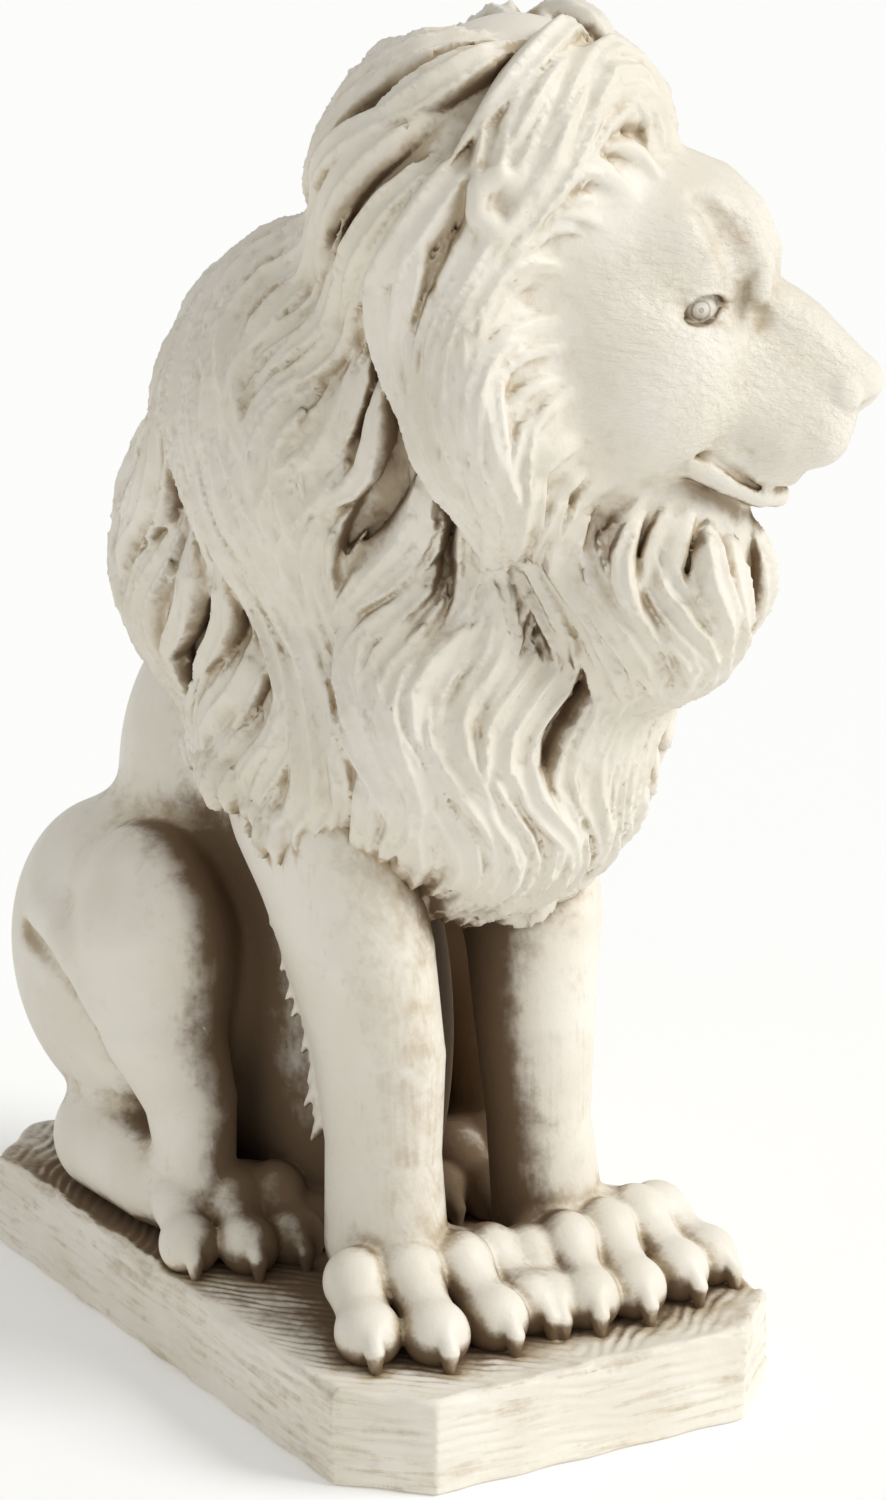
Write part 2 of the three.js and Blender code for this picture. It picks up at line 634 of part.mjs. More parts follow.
// Thins a closed skin to a number of triangles. The edge whose merging moves the surface least
// goes first. Each point carries the sum of squared distances to the planes that met at it, as a
// symmetric 4 x 4 matrix of ten numbers.
function thinSkin({ points, faces }, target) {
  const count = points.length / 3;
  const at = (v) => [points[3 * v], points[3 * v + 1], points[3 * v + 2]];
  const sums = new Float64Array(10 * count);
  const around = Array.from({ length: count }, () => []);
  const alive = new Uint8Array(faces.length / 3).fill(1);
  const stamp = new Uint32Array(count);
  for (let f = 0; f < faces.length / 3; f++) {
    const [a, b, c] = [0, 1, 2].map((i) => at(faces[3 * f + i]));
    const wide = cross(subtract(b, a), subtract(c, a));
    const area = length(wide);
    const n = unit(wide);
    const plane = [...n, -dot(n, a)];
    for (let i = 0; i < 3; i++) {
      const v = faces[3 * f + i];
      around[v].push(f);
      let slot = 10 * v;
      for (let r = 0; r < 4; r++)
        for (let s = r; s < 4; s++) sums[slot++] += plane[r] * plane[s] * area;
    }
  }
  const errorAt = (a, b, [x, y, z]) => {
    const q = (i) => sums[10 * a + i] + sums[10 * b + i];
    return (
      q(0) * x * x + q(4) * y * y + q(7) * z * z + q(9) +
      2 * (q(1) * x * y + q(2) * x * z + q(3) * x + q(5) * y * z + q(6) * y + q(8) * z)
    );
  };
  const bestPoint = (a, b) => {
    const q = (i) => sums[10 * a + i] + sums[10 * b + i];
    const rows = [[q(0), q(1), q(2)], [q(1), q(4), q(5)], [q(2), q(5), q(7)]];
    const right = [-q(3), -q(6), -q(8)];
    const all = dot(rows[0], cross(rows[1], rows[2]));
    const middle = mixPoint(at(a), at(b), 0.5);
    const reach = length(subtract(at(a), at(b)));
    const size = q(0) + q(4) + q(7);
    if (Math.abs(all) > 1e-4 * size * size * size) {
      const p = [
        dot(right, cross(rows[1], rows[2])) / all,
        dot(right, cross(rows[2], rows[0])) / all,
        dot(right, cross(rows[0], rows[1])) / all,
      ];
      if (length(subtract(p, middle)) < reach) return p;
    }
    const tries = [middle, at(a), at(b)];
    return tries.reduce((best, p) => (errorAt(a, b, p) < errorAt(a, b, best) ? p : best));
  };
  const heap = makeHeap();
  const offer = (a, b) => {
    const p = bestPoint(a, b);
    const spread = length(subtract(at(a), at(b)));
    const cost = errorAt(a, b, p) + 1e-3 * spread * spread;
    heap.push({ cost, a, b, p, when: [stamp[a], stamp[b]] });
  };
  const neighbours = (v) => {
    const found = new Set();
    for (const f of around[v]) for (let i = 0; i < 3; i++) found.add(faces[3 * f + i]);
    found.delete(v);
    return found;
  };
  for (let f = 0; f < faces.length; f += 3)
    for (let i = 0; i < 3; i++) {
      const a = faces[f + i];
      const b = faces[f + ((i + 1) % 3)];
      if (a < b) offer(a, b);
    }
  const turnsOver = (v, other, p) =>
    around[v].some((f) => {
      const ids = [0, 1, 2].map((i) => faces[3 * f + i]);
      if (ids.includes(other)) return false;
      const before = ids.map(at);
      const after = ids.map((n) => (n === v ? p : at(n)));
      const n0 = cross(subtract(before[1], before[0]), subtract(before[2], before[0]));
      const n1 = cross(subtract(after[1], after[0]), subtract(after[2], after[0]));
      return dot(n0, n1) < 0.25 * length(n0) * length(n1) || length(n1) < 0.05;
    });
  let left = faces.length / 3;
  while (left > target) {
    const edge = heap.pop();
    if (!edge) break;
    const { a, b, p, when } = edge;
    if (stamp[a] !== when[0] || stamp[b] !== when[1]) continue;
    const near = neighbours(b);
    const shared = [...neighbours(a)].filter((v) => near.has(v));
    if (shared.length !== 2 || turnsOver(a, b, p) || turnsOver(b, a, p)) continue;
    for (const f of around[b]) {
      const ids = [0, 1, 2].map((i) => faces[3 * f + i]);
      if (ids.includes(a)) {
        alive[f] = 0;
        left--;
        for (const v of ids) if (v !== b) around[v] = around[v].filter((g) => g !== f);
      } else {
        for (let i = 0; i < 3; i++) if (faces[3 * f + i] === b) faces[3 * f + i] = a;
        around[a].push(f);
      }
    }
    around[b] = [];
    for (let i = 0; i < 10; i++) sums[10 * a + i] += sums[10 * b + i];
    for (let i = 0; i < 3; i++) points[3 * a + i] = p[i];
    stamp[a]++;
    stamp[b]++;
    for (const v of neighbours(a)) offer(a, v);
  }
  const moved = new Map();
  const keptPoints = [];
  const keptFaces = [];
  for (let f = 0; f < alive.length; f++) {
    if (!alive[f]) continue;
    for (let i = 0; i < 3; i++) {
      const v = faces[3 * f + i];
      if (!moved.has(v)) {
        moved.set(v, keptPoints.length / 3);
        keptPoints.push(...at(v));
      }
      keptFaces.push(moved.get(v));
    }
  }
  return { points: keptPoints, faces: keptFaces };
}

// The plinth: a rectangle with cut corners, upright sides and a bevelled top edge.
function plinthSkin() {
  const ring = (inset, z) => {
    const x = PLINTH_WIDTH / 2 - inset;
    const y = PLINTH_LENGTH / 2 - inset;
    const c = PLINTH_CORNER_CUT - inset * (2 - Math.SQRT2);
    return [
      [x, -y + c, z], [x, y - c, z], [x - c, y, z], [-x + c, y, z],
      [-x, y - c, z], [-x, -y + c, z], [-x + c, -y, z], [x - c, -y, z],
    ];
  };
  const rings = [
    ring(0, 0),
    ring(0, PLINTH_HEIGHT - PLINTH_EDGE_BEVEL),
    ring(PLINTH_EDGE_BEVEL, PLINTH_HEIGHT),
  ];
  const sides = 8;
  const points = [...rings.flat(2), 0, 0, 0, 0, 0, PLINTH_HEIGHT];
  const faces = [];
  const under = sides * rings.length;
  const over = under + 1;
  for (let i = 0; i < sides; i++) {
    const j = (i + 1) % sides;
    for (let r = 0; r + 1 < rings.length; r++) {
      const a = sides * r;
      faces.push(a + i, a + j, a + sides + j, a + i, a + sides + j, a + sides + i);
    }
    faces.push(under, j, i);
    faces.push(over, sides * (rings.length - 1) + i, sides * (rings.length - 1) + j);
  }
  return { points, faces };
}

const wasm = await Module();
wasm.setup();

function solidOf({ points, faces }) {
  return new wasm.Manifold(
    new wasm.Mesh({
      numProp: 3,
      vertProperties: Float32Array.from(points),
      triVerts: Uint32Array.from(faces),
    }),
  );
}

const lion = thinSkin(largestSkin(skinOf(carveLion())), SKIN_TRIANGLES);
const scale = LION_HEIGHT / DRAWN_HEIGHT;
for (let i = 0; i < lion.points.length; i += 3) {
  lion.points[i] *= scale;
  lion.points[i + 1] *= scale;
  lion.points[i + 2] = lion.points[i + 2] * scale + PLINTH_HEIGHT;
}
const cast = solidOf(plinthSkin()).add(solidOf(lion)).getMesh();

const geometry = new THREE.BufferGeometry();
geometry.setAttribute("position", new THREE.BufferAttribute(Float32Array.from(cast.vertProperties), 3));
geometry.setIndex(new THREE.BufferAttribute(Uint32Array.from(cast.triVerts), 1));
geometry.computeVertexNormals();
const mesh = new THREE.Mesh(geometry, new THREE.MeshStandardMaterial(CAST_STONE));
mesh.name = "lion_on_plinth";

const group = new THREE.Group();
group.name = "seated_lion";
group.add(mesh);

export default group;
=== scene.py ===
import functools
import math

import bpy
import numpy as np
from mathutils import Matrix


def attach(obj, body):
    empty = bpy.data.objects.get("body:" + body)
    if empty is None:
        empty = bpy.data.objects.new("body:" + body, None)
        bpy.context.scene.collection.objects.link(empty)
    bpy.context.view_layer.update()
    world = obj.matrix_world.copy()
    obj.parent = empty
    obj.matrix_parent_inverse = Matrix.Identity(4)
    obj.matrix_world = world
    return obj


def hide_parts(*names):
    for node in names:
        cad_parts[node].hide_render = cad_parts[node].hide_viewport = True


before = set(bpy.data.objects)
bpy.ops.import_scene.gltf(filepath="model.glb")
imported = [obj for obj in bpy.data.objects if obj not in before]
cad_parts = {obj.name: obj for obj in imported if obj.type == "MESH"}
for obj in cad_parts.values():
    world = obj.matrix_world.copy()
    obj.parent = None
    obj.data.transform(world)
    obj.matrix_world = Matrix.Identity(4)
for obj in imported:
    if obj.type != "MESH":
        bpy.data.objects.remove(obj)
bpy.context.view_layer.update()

import openvdb
from mathutils import Vector

# Plinth, in millimetres.
PLINTH_WIDTH = 269.0
PLINTH_LENGTH = 464.0
PLINTH_HEIGHT = 53.0
PLINTH_CORNER_CUT = 40.0
PLINTH_EDGE_BEVEL = 4.0
PAW_SINK = 4.0

# The worn grooves that a toothed tool left on the plinth, in millimetres.
SIDE_GROOVE_DEPTH = 1.9
SIDE_GROOVE_SPACING = 6.6
TOP_GROOVE_DEPTH = 1.5
TOP_GROOVE_SPACING = 7.0

# Eyes, in millimetres.
EYEBALL_RADIUS = 12.3
LID_ARCH = 14.5
LID_DROP = 7.2
IRIS_RADIUS = 5.0
PUPIL_RADIUS = 0.8

# Mane, in millimetres.
FACE_HALF_WIDTH = 90
FACE_HALF_HEIGHT = 75
FACE_DROP = 18
HEM_AT_CHEST = 208
HEM_AT_SHOULDER = 294
FINE_LOCK = 8
LOCK_THROWS = 14000

# How far the painted recess shade looks around each place for what shuts it in, in millimetres.
SKY_RAYS = 26
SKY_REACHES = (28, 42, 60, 84, 114, 150)
COARSE_STEP = 5

# Colours of the finish and of the painted shade.
PALE_IVORY = "#efe9dc"
WARM_IVORY = "#e8e1d1"
THIN_WASH = "#c2b297"
THICK_WASH = "#8a755a"
# Brown for painted shade in large recesses, such as under the belly and between the legs, mixed with some
# wash.
PAINTED_SHADE_AND_WASH = "#78634b"
CRACK_BROWN = "#5b4630"

# Carving grid, in millimetres.
CELL = 1.7
BLOCK = 8
NEAR = 20.0
MOST_TRIANGLES = 198000

f32 = np.float32


def vec(*xs):
    return np.array(xs, f32)


def norm(a):
    return np.sqrt(np.einsum("...i,...i->...", a, a))


def unit(a):
    return a / np.maximum(norm(a), 1e-9)[..., None]


def mix(a, b, t):
    return a + (b - a) * t


def ease(low, high, x):
    t = np.clip((x - low) / (high - low), 0, 1)
    return t * t * (3 - 2 * t)


class Axes:
    """A frame of three unit axes at an origin, such as the turned head's."""

    def __init__(self, origin, x, y, z):
        self.origin = np.array(origin, f32)
        self.rows = np.array([x, y, z], f32)

    def out(self, p):
        return self.origin + np.asarray(p, f32) @ self.rows

    def into(self, p):
        return (p - self.origin) @ self.rows.T


BODY = Axes((0, 0, 0), (1, 0, 0), (0, 1, 0), (0, 0, 1))
HEAD_TURN = math.radians(50)
HEAD = Axes(
    (47, -143, 546),
    (math.sin(HEAD_TURN), -math.cos(HEAD_TURN), 0),
    (math.cos(HEAD_TURN), math.sin(HEAD_TURN), 0),
    (0, 0, 1),
)


def blend(a, b, k):
    h = np.maximum(k - np.abs(a - b), 0) / k
    return np.minimum(a, b) - h * h * (k / 4)


def blob(axes, centre, radii, turn=None):
    """An egg-shaped form. turn is a 3 x 3 matrix of its own axes, as rows, in the frame's."""
    c = vec(*centre)
    r = vec(*radii)
    reach = max(radii)
    middle = axes.out(c)

    def distance(p):
        q = axes.into(p) - c
        if turn is not None:
            q = q @ turn.T
        k0 = norm(q / r)
        k1 = norm(q / (r * r))
        return k0 * (k0 - 1) / np.maximum(k1, 1e-6)

    return middle - reach, middle + reach, distance


def limb(axes, points, radii, wide=(1, 1, 1)):
    """A tapering form along a line of points, widened along the frame's axes."""
    w = vec(*wide)
    least = float(min(wide))
    pts = np.array(points, f32) / w
    outer = axes.out(np.array(points, f32))
    reach = max(radii) * max(wide)

    def distance(p):
        q = axes.into(p) / w
        best = None
        for i in range(len(pts) - 1):
            d = pts[i + 1] - pts[i]
            rel = q - pts[i]
            t = np.clip((rel @ d) / max(float(d @ d), 1e-9), 0, 1)
            rel -= t[:, None] * d
            e = norm(rel) - mix(radii[i], radii[i + 1], t)
            best = e if best is None else np.minimum(best, e)
        return best * least

    return outer.min(0) - reach, outer.max(0) + reach, distance


class Ribbon:
    """A lock of hair: a tapering form along a line on the mane, flatter than it is wide."""

    def __init__(self, line, normals, radii, flat, strands, shift):
        self.line = line
        self.radii = radii
        self.flat = flat
        self.strands = strands
        self.shift = shift
        self.run = line[1:] - line[:-1]
        self.long = np.maximum(np.einsum("ij,ij->i", self.run, self.run), 1e-6)
        way = np.vstack([self.run[:1], self.run[1:] + self.run[:-1], self.run[-1:]])
        self.side = unit(np.cross(normals, way))
        self.up = unit(np.cross(way, self.side))
        self.share = np.linspace(0, 1, len(line))
        reach = max(radii)
        self.low = line.min(0) - reach
        self.high = line.max(0) + reach

    def coords(self, p):
        """Distance to the lock, how far along it, and how far across it from -1 to 1."""
        best = np.full(len(p), 1e6, f32)
        along = np.zeros(len(p), f32)
        across = np.zeros(len(p), f32)
        steps = len(self.run)
        for i in range(steps):
            rel = p - self.line[i]
            t = np.clip(rel @ self.run[i] / self.long[i], 0, 1)
            rel = rel - t[:, None] * self.run[i]
            high = mix(rel @ self.up[i], rel @ self.up[i + 1], t)
            wide = np.maximum(np.einsum("ij,ij->i", rel, rel) - high * high, 0)
            r = mix(self.radii[i], self.radii[i + 1], t)
            e = (np.sqrt(wide + (high * self.flat) ** 2) - r) / math.sqrt(self.flat)
            nearer = e < best
            best = np.where(nearer, e, best)
            along = np.where(nearer, (i + t) / steps, along)
            across = np.where(nearer, mix(rel @ self.side[i], rel @ self.side[i + 1], t) / r, across)
        return best, along, across

    def distance(self, p):
        """The lock's surface has sharp crests with round valleys between them."""
        d, along, across = self.coords(p)
        swing = across + 0.15 * np.sin(6 * along + self.shift)
        ramp = np.abs((swing * self.strands / 2 + self.shift) % 1.0 - 0.5) * 2
        crest = 1 - np.sin(math.pi / 2 * ramp)
        depth = 0.35 * np.interp(along, self.share, self.radii).astype(f32)
        return d - depth * (crest - 0.35)

    def shape(self):
        return self.low, self.high, self.distance


class Clay:
    """Forms are added and cut in order, then evaluated only near the surface."""

    def __init__(self, low, high):
        self.low = vec(*low)
        self.size = [int(math.ceil((h - l) / (CELL * BLOCK))) for l, h in zip(low, high)]
        self.steps = []
        self.dense = None

    def add(self, shape, k):
        self.steps.append((shape, k, 1))

    def cut(self, shape, k):
        self.steps.append((shape, k, -1))

    def run(self, field, centres, inside_of):
        for (low, high, distance), k, sign in self.steps:
            ids = inside_of(low - k - 3, high + k + 3)
            if not len(ids):
                continue
            p = centres(ids)
            d = distance(p.reshape(-1, 3)).reshape(p.shape[:-1])
            old = field[ids]
            field[ids] = sign * blend(sign * old, d, k)
        return field

    def shape(self):
        span = CELL * BLOCK
        nx, ny, nz = self.size
        grid = np.stack(np.meshgrid(range(nx), range(ny), range(nz), indexing="ij"), -1).reshape(-1, 3)
        corner = self.low + grid.astype(f32) * span
        middle = corner + span / 2

        def meets(low, high):
            return np.nonzero(((corner + span >= low) & (corner <= high)).all(1))[0]

        rough = self.run(np.full(len(grid), 1e3, f32), lambda ids: middle[ids], meets)
        live = np.nonzero(np.abs(rough) < NEAR)[0]
        place = np.full(len(grid), -1)
        place[live] = np.arange(len(live))
        r = np.arange(BLOCK)
        inner = np.stack(np.meshgrid(r, r, r, indexing="ij"), -1).reshape(-1, 3).astype(f32) * CELL
        live_corner = corner[live]

        def live_meets(low, high):
            return np.nonzero(((live_corner + span >= low) & (live_corner <= high)).all(1))[0]

        fine = np.full((len(live), BLOCK**3), 1e3, f32)
        fine = self.run(fine, lambda ids: live_corner[ids][:, None, :] + inner, live_meets)
        level = live_corner[:, None, 2] + inner[None, :, 2]
        fine = np.maximum(fine, self.low[2] + 2 * CELL - level)
        whole = np.where(rough < 0, -NEAR, NEAR).astype(f32)
        whole = np.broadcast_to(whole[:, None], (len(grid), BLOCK**3)).copy()
        whole[live] = np.clip(fine, -NEAR, NEAR)
        dense = whole.reshape(nx, ny, nz, BLOCK, BLOCK, BLOCK).transpose(0, 3, 1, 4, 2, 5)
        self.dense = np.ascontiguousarray(dense.reshape(nx * BLOCK, ny * BLOCK, nz * BLOCK))
        return self

    def sample(self, p):
        """The distance to the surface at points, up to NEAR, from the nearest grid place."""
        at = np.rint((p - self.low) / CELL).astype(np.int64)
        top = np.array(self.dense.shape) - 1
        outside = ((at < 0) | (at > top)).any(1)
        at = np.clip(at, 0, top)
        return np.where(outside, NEAR, self.dense[at[:, 0], at[:, 1], at[:, 2]])


def both(shape):
    return [shape(1), shape(-1)]


def grain(run, across, spacing):
    """Depth, from 0 to 1, of worn grooves that follow run and wander a little."""
    wander = 0.34 * np.sin(run / 29) + 0.2 * np.sin(run / 12.3 + across / 17 + 1.7)
    wander += 0.1 * np.sin(run / 5.1 + across / 4)
    phase = across / spacing + wander
    share = 0.55 + 0.25 * np.sin(run / 21 + across / 7 + 2) + 0.2 * np.sin(run / 8.7 - across / 5)
    return share * (0.5 + 0.5 * np.sin(2 * math.pi * phase)) ** 1.6


def carve_plinth(clay):
    x, y = PLINTH_WIDTH / 2, PLINTH_LENGTH / 2
    top = 0.0
    cut = (x + y - PLINTH_CORNER_CUT) / math.sqrt(2)

    def distance(p):
        px, py, pz = p.T
        ax, ay = np.abs(px), np.abs(py)
        faces = np.stack([ax - x, ay - y, (ax + ay) / math.sqrt(2) - cut])
        side = faces.max(0)
        facing = faces.argmax(0)
        run = np.choose(facing, [py, px, (ax - ay) / math.sqrt(2)])
        rough = SIDE_GROOVE_DEPTH * grain(run, pz, SIDE_GROOVE_SPACING)
        rough = rough * ease(-PLINTH_HEIGHT, -PLINTH_HEIGHT + 9, pz)
        rough += 0.8 * np.sin(run / 37 + pz / 19) ** 2
        slant = (ax + ay) / math.sqrt(2)
        tooled = TOP_GROOVE_DEPTH * grain((ax - ay) / math.sqrt(2), slant, TOP_GROOVE_SPACING)
        over = pz - top + tooled * ease(3, 12, -side)
        bevel = PLINTH_EDGE_BEVEL * (1 + 0.4 * np.sin(run / 17 + facing) + 0.35 * np.sin(run / 6.3))
        edge = (side + over + bevel) / math.sqrt(2)
        foot = (side - PLINTH_HEIGHT - pz + 2 + 1.6 * np.sin(run / 14) ** 2) / math.sqrt(2)
        ends = np.maximum(over, -PLINTH_HEIGHT - pz)
        return np.maximum(np.maximum(side + rough, ends), np.maximum(edge, foot))

    clay.add((vec(-x, -y, -PLINTH_HEIGHT), vec(x, y, top), distance), 1)


def carve_trunk(clay):
    clay.add(blob(BODY, (0, 130, 106), (84, 84, 116)), 20)
    clay.add(blob(BODY, (0, 108, 228), (83, 91, 112)), 30)
    clay.add(blob(BODY, (0, 10, 320), (84, 90, 115)), 36)
    clay.add(blob(BODY, (0, -46, 300), (70, 58, 100)), 36)
    clay.add(blob(BODY, (0, 36, 110), (55, 84, 150)), 30)


def carve_foreleg(clay, side):
    deep = 1.5 if side < 0 else 1.15
    line = [(58, -56, 250), (54, -80, 195), (48, -92, 140), (48, -97, 85), (50, -104, 30)]
    clay.add(blob(BODY, (side * 60, -38, 300), (38, 60, 88)), 30)
    clay.add(
        limb(BODY, [(side * x, y, z) for x, y, z in line], (40, 36, 31, 27, 29), (1, deep, 1)), 14
    )
    clay.add(blob(BODY, (side * 50, -52, 200), (20, 30, 32)), 16)


def carve_fringe(clay, side):
    """Tufts of longer fur down the back edge of a foreleg."""
    edge = np.array([(84, -58, 240), (80, -56, 205), (73, -58, 170), (64, -59, 130), (60, -58, 88)])
    for i in range(17):
        t = i / 16
        x, y, z = (np.interp(t, np.linspace(0, 1, len(edge)), edge[:, k]) for k in range(3))
        long = 11 + 4 * math.sin(i * 2.4)
        root = (side * (x + 1), y - 3, z + 5)
        tip = (side * (x + 3 + 1.5 * math.sin(i)), y + long * 0.9, z - long)
        clay.add(limb(BODY, [root, tip], (6.5, 1.2)), 2.5)


def carve_paw(clay, wrist, knuckles, ends, size):
    """Each toe runs from the wrist over a knuckle to a rounded end with a hooked claw."""
    wrist, knuckles, ends = (np.array(a, float) - (0, 0, 3) for a in (wrist, knuckles, ends))
    heel = mix(wrist, knuckles[1], 0.1)
    up = np.array((0, 0, 1.0))
    for knuckle in knuckles:
        bone = [heel, mix(heel, knuckle, 0.55), knuckle]
        clay.add(limb(BODY, bone, (size * 1.04, size * 0.94, size * 0.82)), 4)
    for knuckle, end in zip(knuckles, ends):
        ahead = (end - knuckle) * (1, 1, 0)
        ahead /= np.linalg.norm(ahead)
        toe = [knuckle, mix(knuckle, end, 0.5), end]
        clay.add(limb(BODY, toe, (size * 0.94, size * 0.79, size * 0.88)), 2.5)
        clay.add(blob(BODY, knuckle + up * 2 - ahead * 2, (size * 0.96, size * 1.04, size)), 3)
        clay.add(blob(BODY, end + up + ahead * 2, (size * 0.96, size * 1.06, size)), 3)
        root = end + ahead * size * 0.8 + up * size * 0.3
        bend = end + ahead * size * 1.22 - up * size * 0.1
        tip = end + ahead * size * 1.3 - up * size * 0.8
        clay.add(limb(BODY, [root, bend, tip], (size * 0.36, size * 0.31, size * 0.13)), 1.5)


def carve_hind_leg(clay, side):
    def at(*points):
        return [(side * x, y, z) for x, y, z in points]

    clay.add(blob(BODY, (side * 76, 133, 127), (58, 96, 91)), 20)
    clay.add(blob(BODY, (side * 97, 68, 164), (37, 58, 60)), 16)
    shin = at((100, 62, 161), (102, 46, 118), (95, 31, 80), (94, 26, 44))
    clay.add(limb(BODY, shin, (40, 33, 25, 21), (1, 1.1, 1)), 10)
    clay.add(limb(BODY, at((96, 120, 30), (98, 60, 26), (94, 20, 22)), (34, 28, 22)), 12)
    crease = at(
        (128, 157, 145), (136, 111, 139), (136, 91, 131), (131, 72, 113), (121, 66, 85), (112, 49, 66)
    )
    thigh = at(
        (116, 150, 160), (122, 112, 156), (123, 90, 149), (119, 68, 131), (109, 60, 103), (101, 50, 80)
    )
    clay.add(limb(BODY, thigh, (10, 16, 18, 18, 14, 8)), 12)
    clay.cut(limb(BODY, crease, (2, 4, 5, 5, 4, 2)), 10)


def eye_axes(side):
    """At the eyeball's centre: x towards the inner corner, y out of the eye, z up."""
    inward = vec(19, -side * 10, 8)
    x = unit(inward)
    y = unit(np.cross(vec(0, 0, 1), x) * side)
    z = unit(np.cross(x, y)) * side
    rows = [v @ HEAD.rows for v in (x, y, z)]
    return Axes(HEAD.out((57, side * 29, -1)), *rows)


def carve_eye(clay, side):
    axes = eye_axes(side)

    def opening(p):
        q = axes.into(p)
        over = np.hypot(q[:, 0], q[:, 2] + LID_DROP) - LID_ARCH
        under = np.hypot(q[:, 0], q[:, 2] - LID_DROP - 1) - LID_ARCH
        return np.maximum(np.maximum(over, under), 5 - q[:, 1])

    middle = axes.out((0, 12, 0))
    clay.add(blob(axes, (0, 0, 0), (17, 14.2, 15)), 6)  # lids
    upper = [(-20, 3, -4), (-13, 9.5, 3.4), (-5, 12.8, 8.2), (4, 13.2, 8.6), (11, 11, 5.2), (18, 7, -3)]
    clay.add(limb(axes, upper, (1.6, 2.8, 3.4, 3.4, 2.8, 1.6)), 1.2)
    lower = [(-13, 8.5, -1), (-5, 11.5, -6.8), (5, 11.5, -7), (14, 8.5, -3)]
    clay.add(limb(axes, lower, (1.6, 2.4, 2.4, 1.6)), 1.2)
    clay.cut((middle - 16, middle + 16, opening), 1)
    clay.add(blob(axes, (0, 0, 0), (EYEBALL_RADIUS,) * 3), 0.8)  # eyeball
    clay.cut(limb(axes, [(11, 9.5, -2.5), (18, 9, -6)], (1.6, 1)), 1.5)  # inner corner


def carve_head(clay):
    def pair(shape, k):
        for each in both(shape):
            clay.add(each, k)

    def cut_pair(shape, k):
        for each in both(shape):
            clay.cut(each, k)

    clay.add(blob(HEAD, (-6, 0, 4), (76, 62, 80)), 16)
    pair(lambda s: blob(HEAD, (47, s * 17, 27), (37, 29, 38)), 12)  # forehead
    pair(lambda s: blob(HEAD, (20, s * 38, -42), (54, 29, 46)), 18)  # cheeks
    pair(lambda s: blob(HEAD, (42, s * 36, -22), (36, 18, 17)), 14)  # cheek bones
    nose = [(70, 0, 0), (104, 0, -21.5), (131, 0, -43)]
    clay.add(limb(HEAD, nose, (23, 21, 17), (1, 1.08, 1)), 6)
    flank = [(66, 24, -20), (96, 14, -36), (118, 9, -50)]
    pair(lambda s: limb(HEAD, [(f, s * l, u) for f, l, u in flank], (17, 15, 14)), 10)
    jaw = [(36, 31, -46), (78, 21, -51), (112, 11, -58)]
    pair(lambda s: limb(HEAD, [(f, s * l, u) for f, l, u in jaw], (23, 21, 20)), 10)  # upper jaw
    pads = [(78, 22, -58), (98, 17, -70), (117, 12, -68)]
    pair(lambda s: limb(HEAD, [(f, s * l, u) for f, l, u in pads], (17, 20, 18)), 9)  # whisker pads
    lip = [(44, 37, -68), (60, 38, -67), (74, 33, -74), (88, 25, -85), (103, 14, -88)]
    pair(lambda s: limb(HEAD, [(f, s * l, u) for f, l, u in lip], (4, 6, 7, 8, 8)), 6)
    clay.add(limb(HEAD, [(30, 0, -82), (82, 0, -95)], (29, 15), (1, 1.5, 1)), 3)  # lower jaw
    clay.add(limb(HEAD, [(36, 0, -72), (86, 0, -84)], (32, 18), (1, 1.1, 1)), 3)
    low_lip = [(38, 40, -80), (58, 40, -79), (74, 34, -88), (90, 20, -99), (97, 0, -104)]
    pair(lambda s: limb(HEAD, [(f, s * l, u) for f, l, u in low_lip], (5, 8, 8, 7, 6)), 3)
    mouth = [(38, 47, -77), (56, 46, -71), (71, 43, -76), (82, 36, -87), (94, 21, -98)]
    cut_pair(lambda s: limb(HEAD, [(f, s * l, u) for f, l, u in mouth], (1, 2, 2.2, 2.2, 1.2)), 2)
    brow = [(83, 9, 15), (79, 18, 23), (69, 29, 31), (52, 40, 33)]
    pair(lambda s: limb(HEAD, [(f, s * l, u) for f, l, u in brow], (11, 11, 9, 7)), 6)
    clay.cut(limb(HEAD, [(101, 0, 12), (96, 0, 34), (84, 0, 58)], (4, 4, 2)), 7)  # frown
    roll = [(64, 20, 56), (80, 19, 40), (88, 17, 20), (88, 21, 4), (84, 27, -8)]
    pair(lambda s: limb(HEAD, [(f, s * l, u) for f, l, u in roll], (5, 7, 8, 7, 4)), 4)
    groove = [(62, 37, 52), (74, 37, 37), (82, 36, 20), (82, 37, 8)]
    cut_pair(lambda s: limb(HEAD, [(f, s * l, u) for f, l, u in groove], (2, 6, 6, 3)), 12)
    clay.cut(limb(HEAD, [(101, -17, 9), (104, 0, 10), (101, 17, 9)], (3.5, 5, 3.5)), 4)  # root of the nose
    cut_pair(lambda s: limb(HEAD, [(90, s * 26, -6), (76, s * 42, 2), (56, s * 50, 4)], (3, 6, 3)), 8)
    for side in (-1, 1):
        carve_eye(clay, side)
    clay.add(blob(HEAD, (136, 0, -43), (14, 15, 13)), 3)  # nose leather
    pair(lambda s: blob(HEAD, (128, s * 15, -47), (13, 9.5, 13)), 1)
    cut_pair(lambda s: limb(HEAD, [(147, s * 8, -51), (138, s * 14, -56)], (2.4, 3.4)), 1.5)  # nostrils
    clay.cut(limb(HEAD, [(148, 0, -57), (141, 0, -74), (132, 0, -88)], (1.5, 2.2, 2)), 3)


def carve_ears(clay):
    """A small rounded ear that curls forwards out of the hair."""
    rim = [(-23, 83, 49), (-33, 88, 46), (-43, 90, 55), (-42, 90, 67), (-32, 88, 73), (-22, 82, 69)]
    for side in (-1, 1):
        clay.add(limb(HEAD, [(f, side * l, u) for f, l, u in rim], (4, 6, 6, 6, 6, 4)), 3)
        clay.cut(blob(HEAD, (-30, side * 95, 60), (6, 9, 7)), 3)


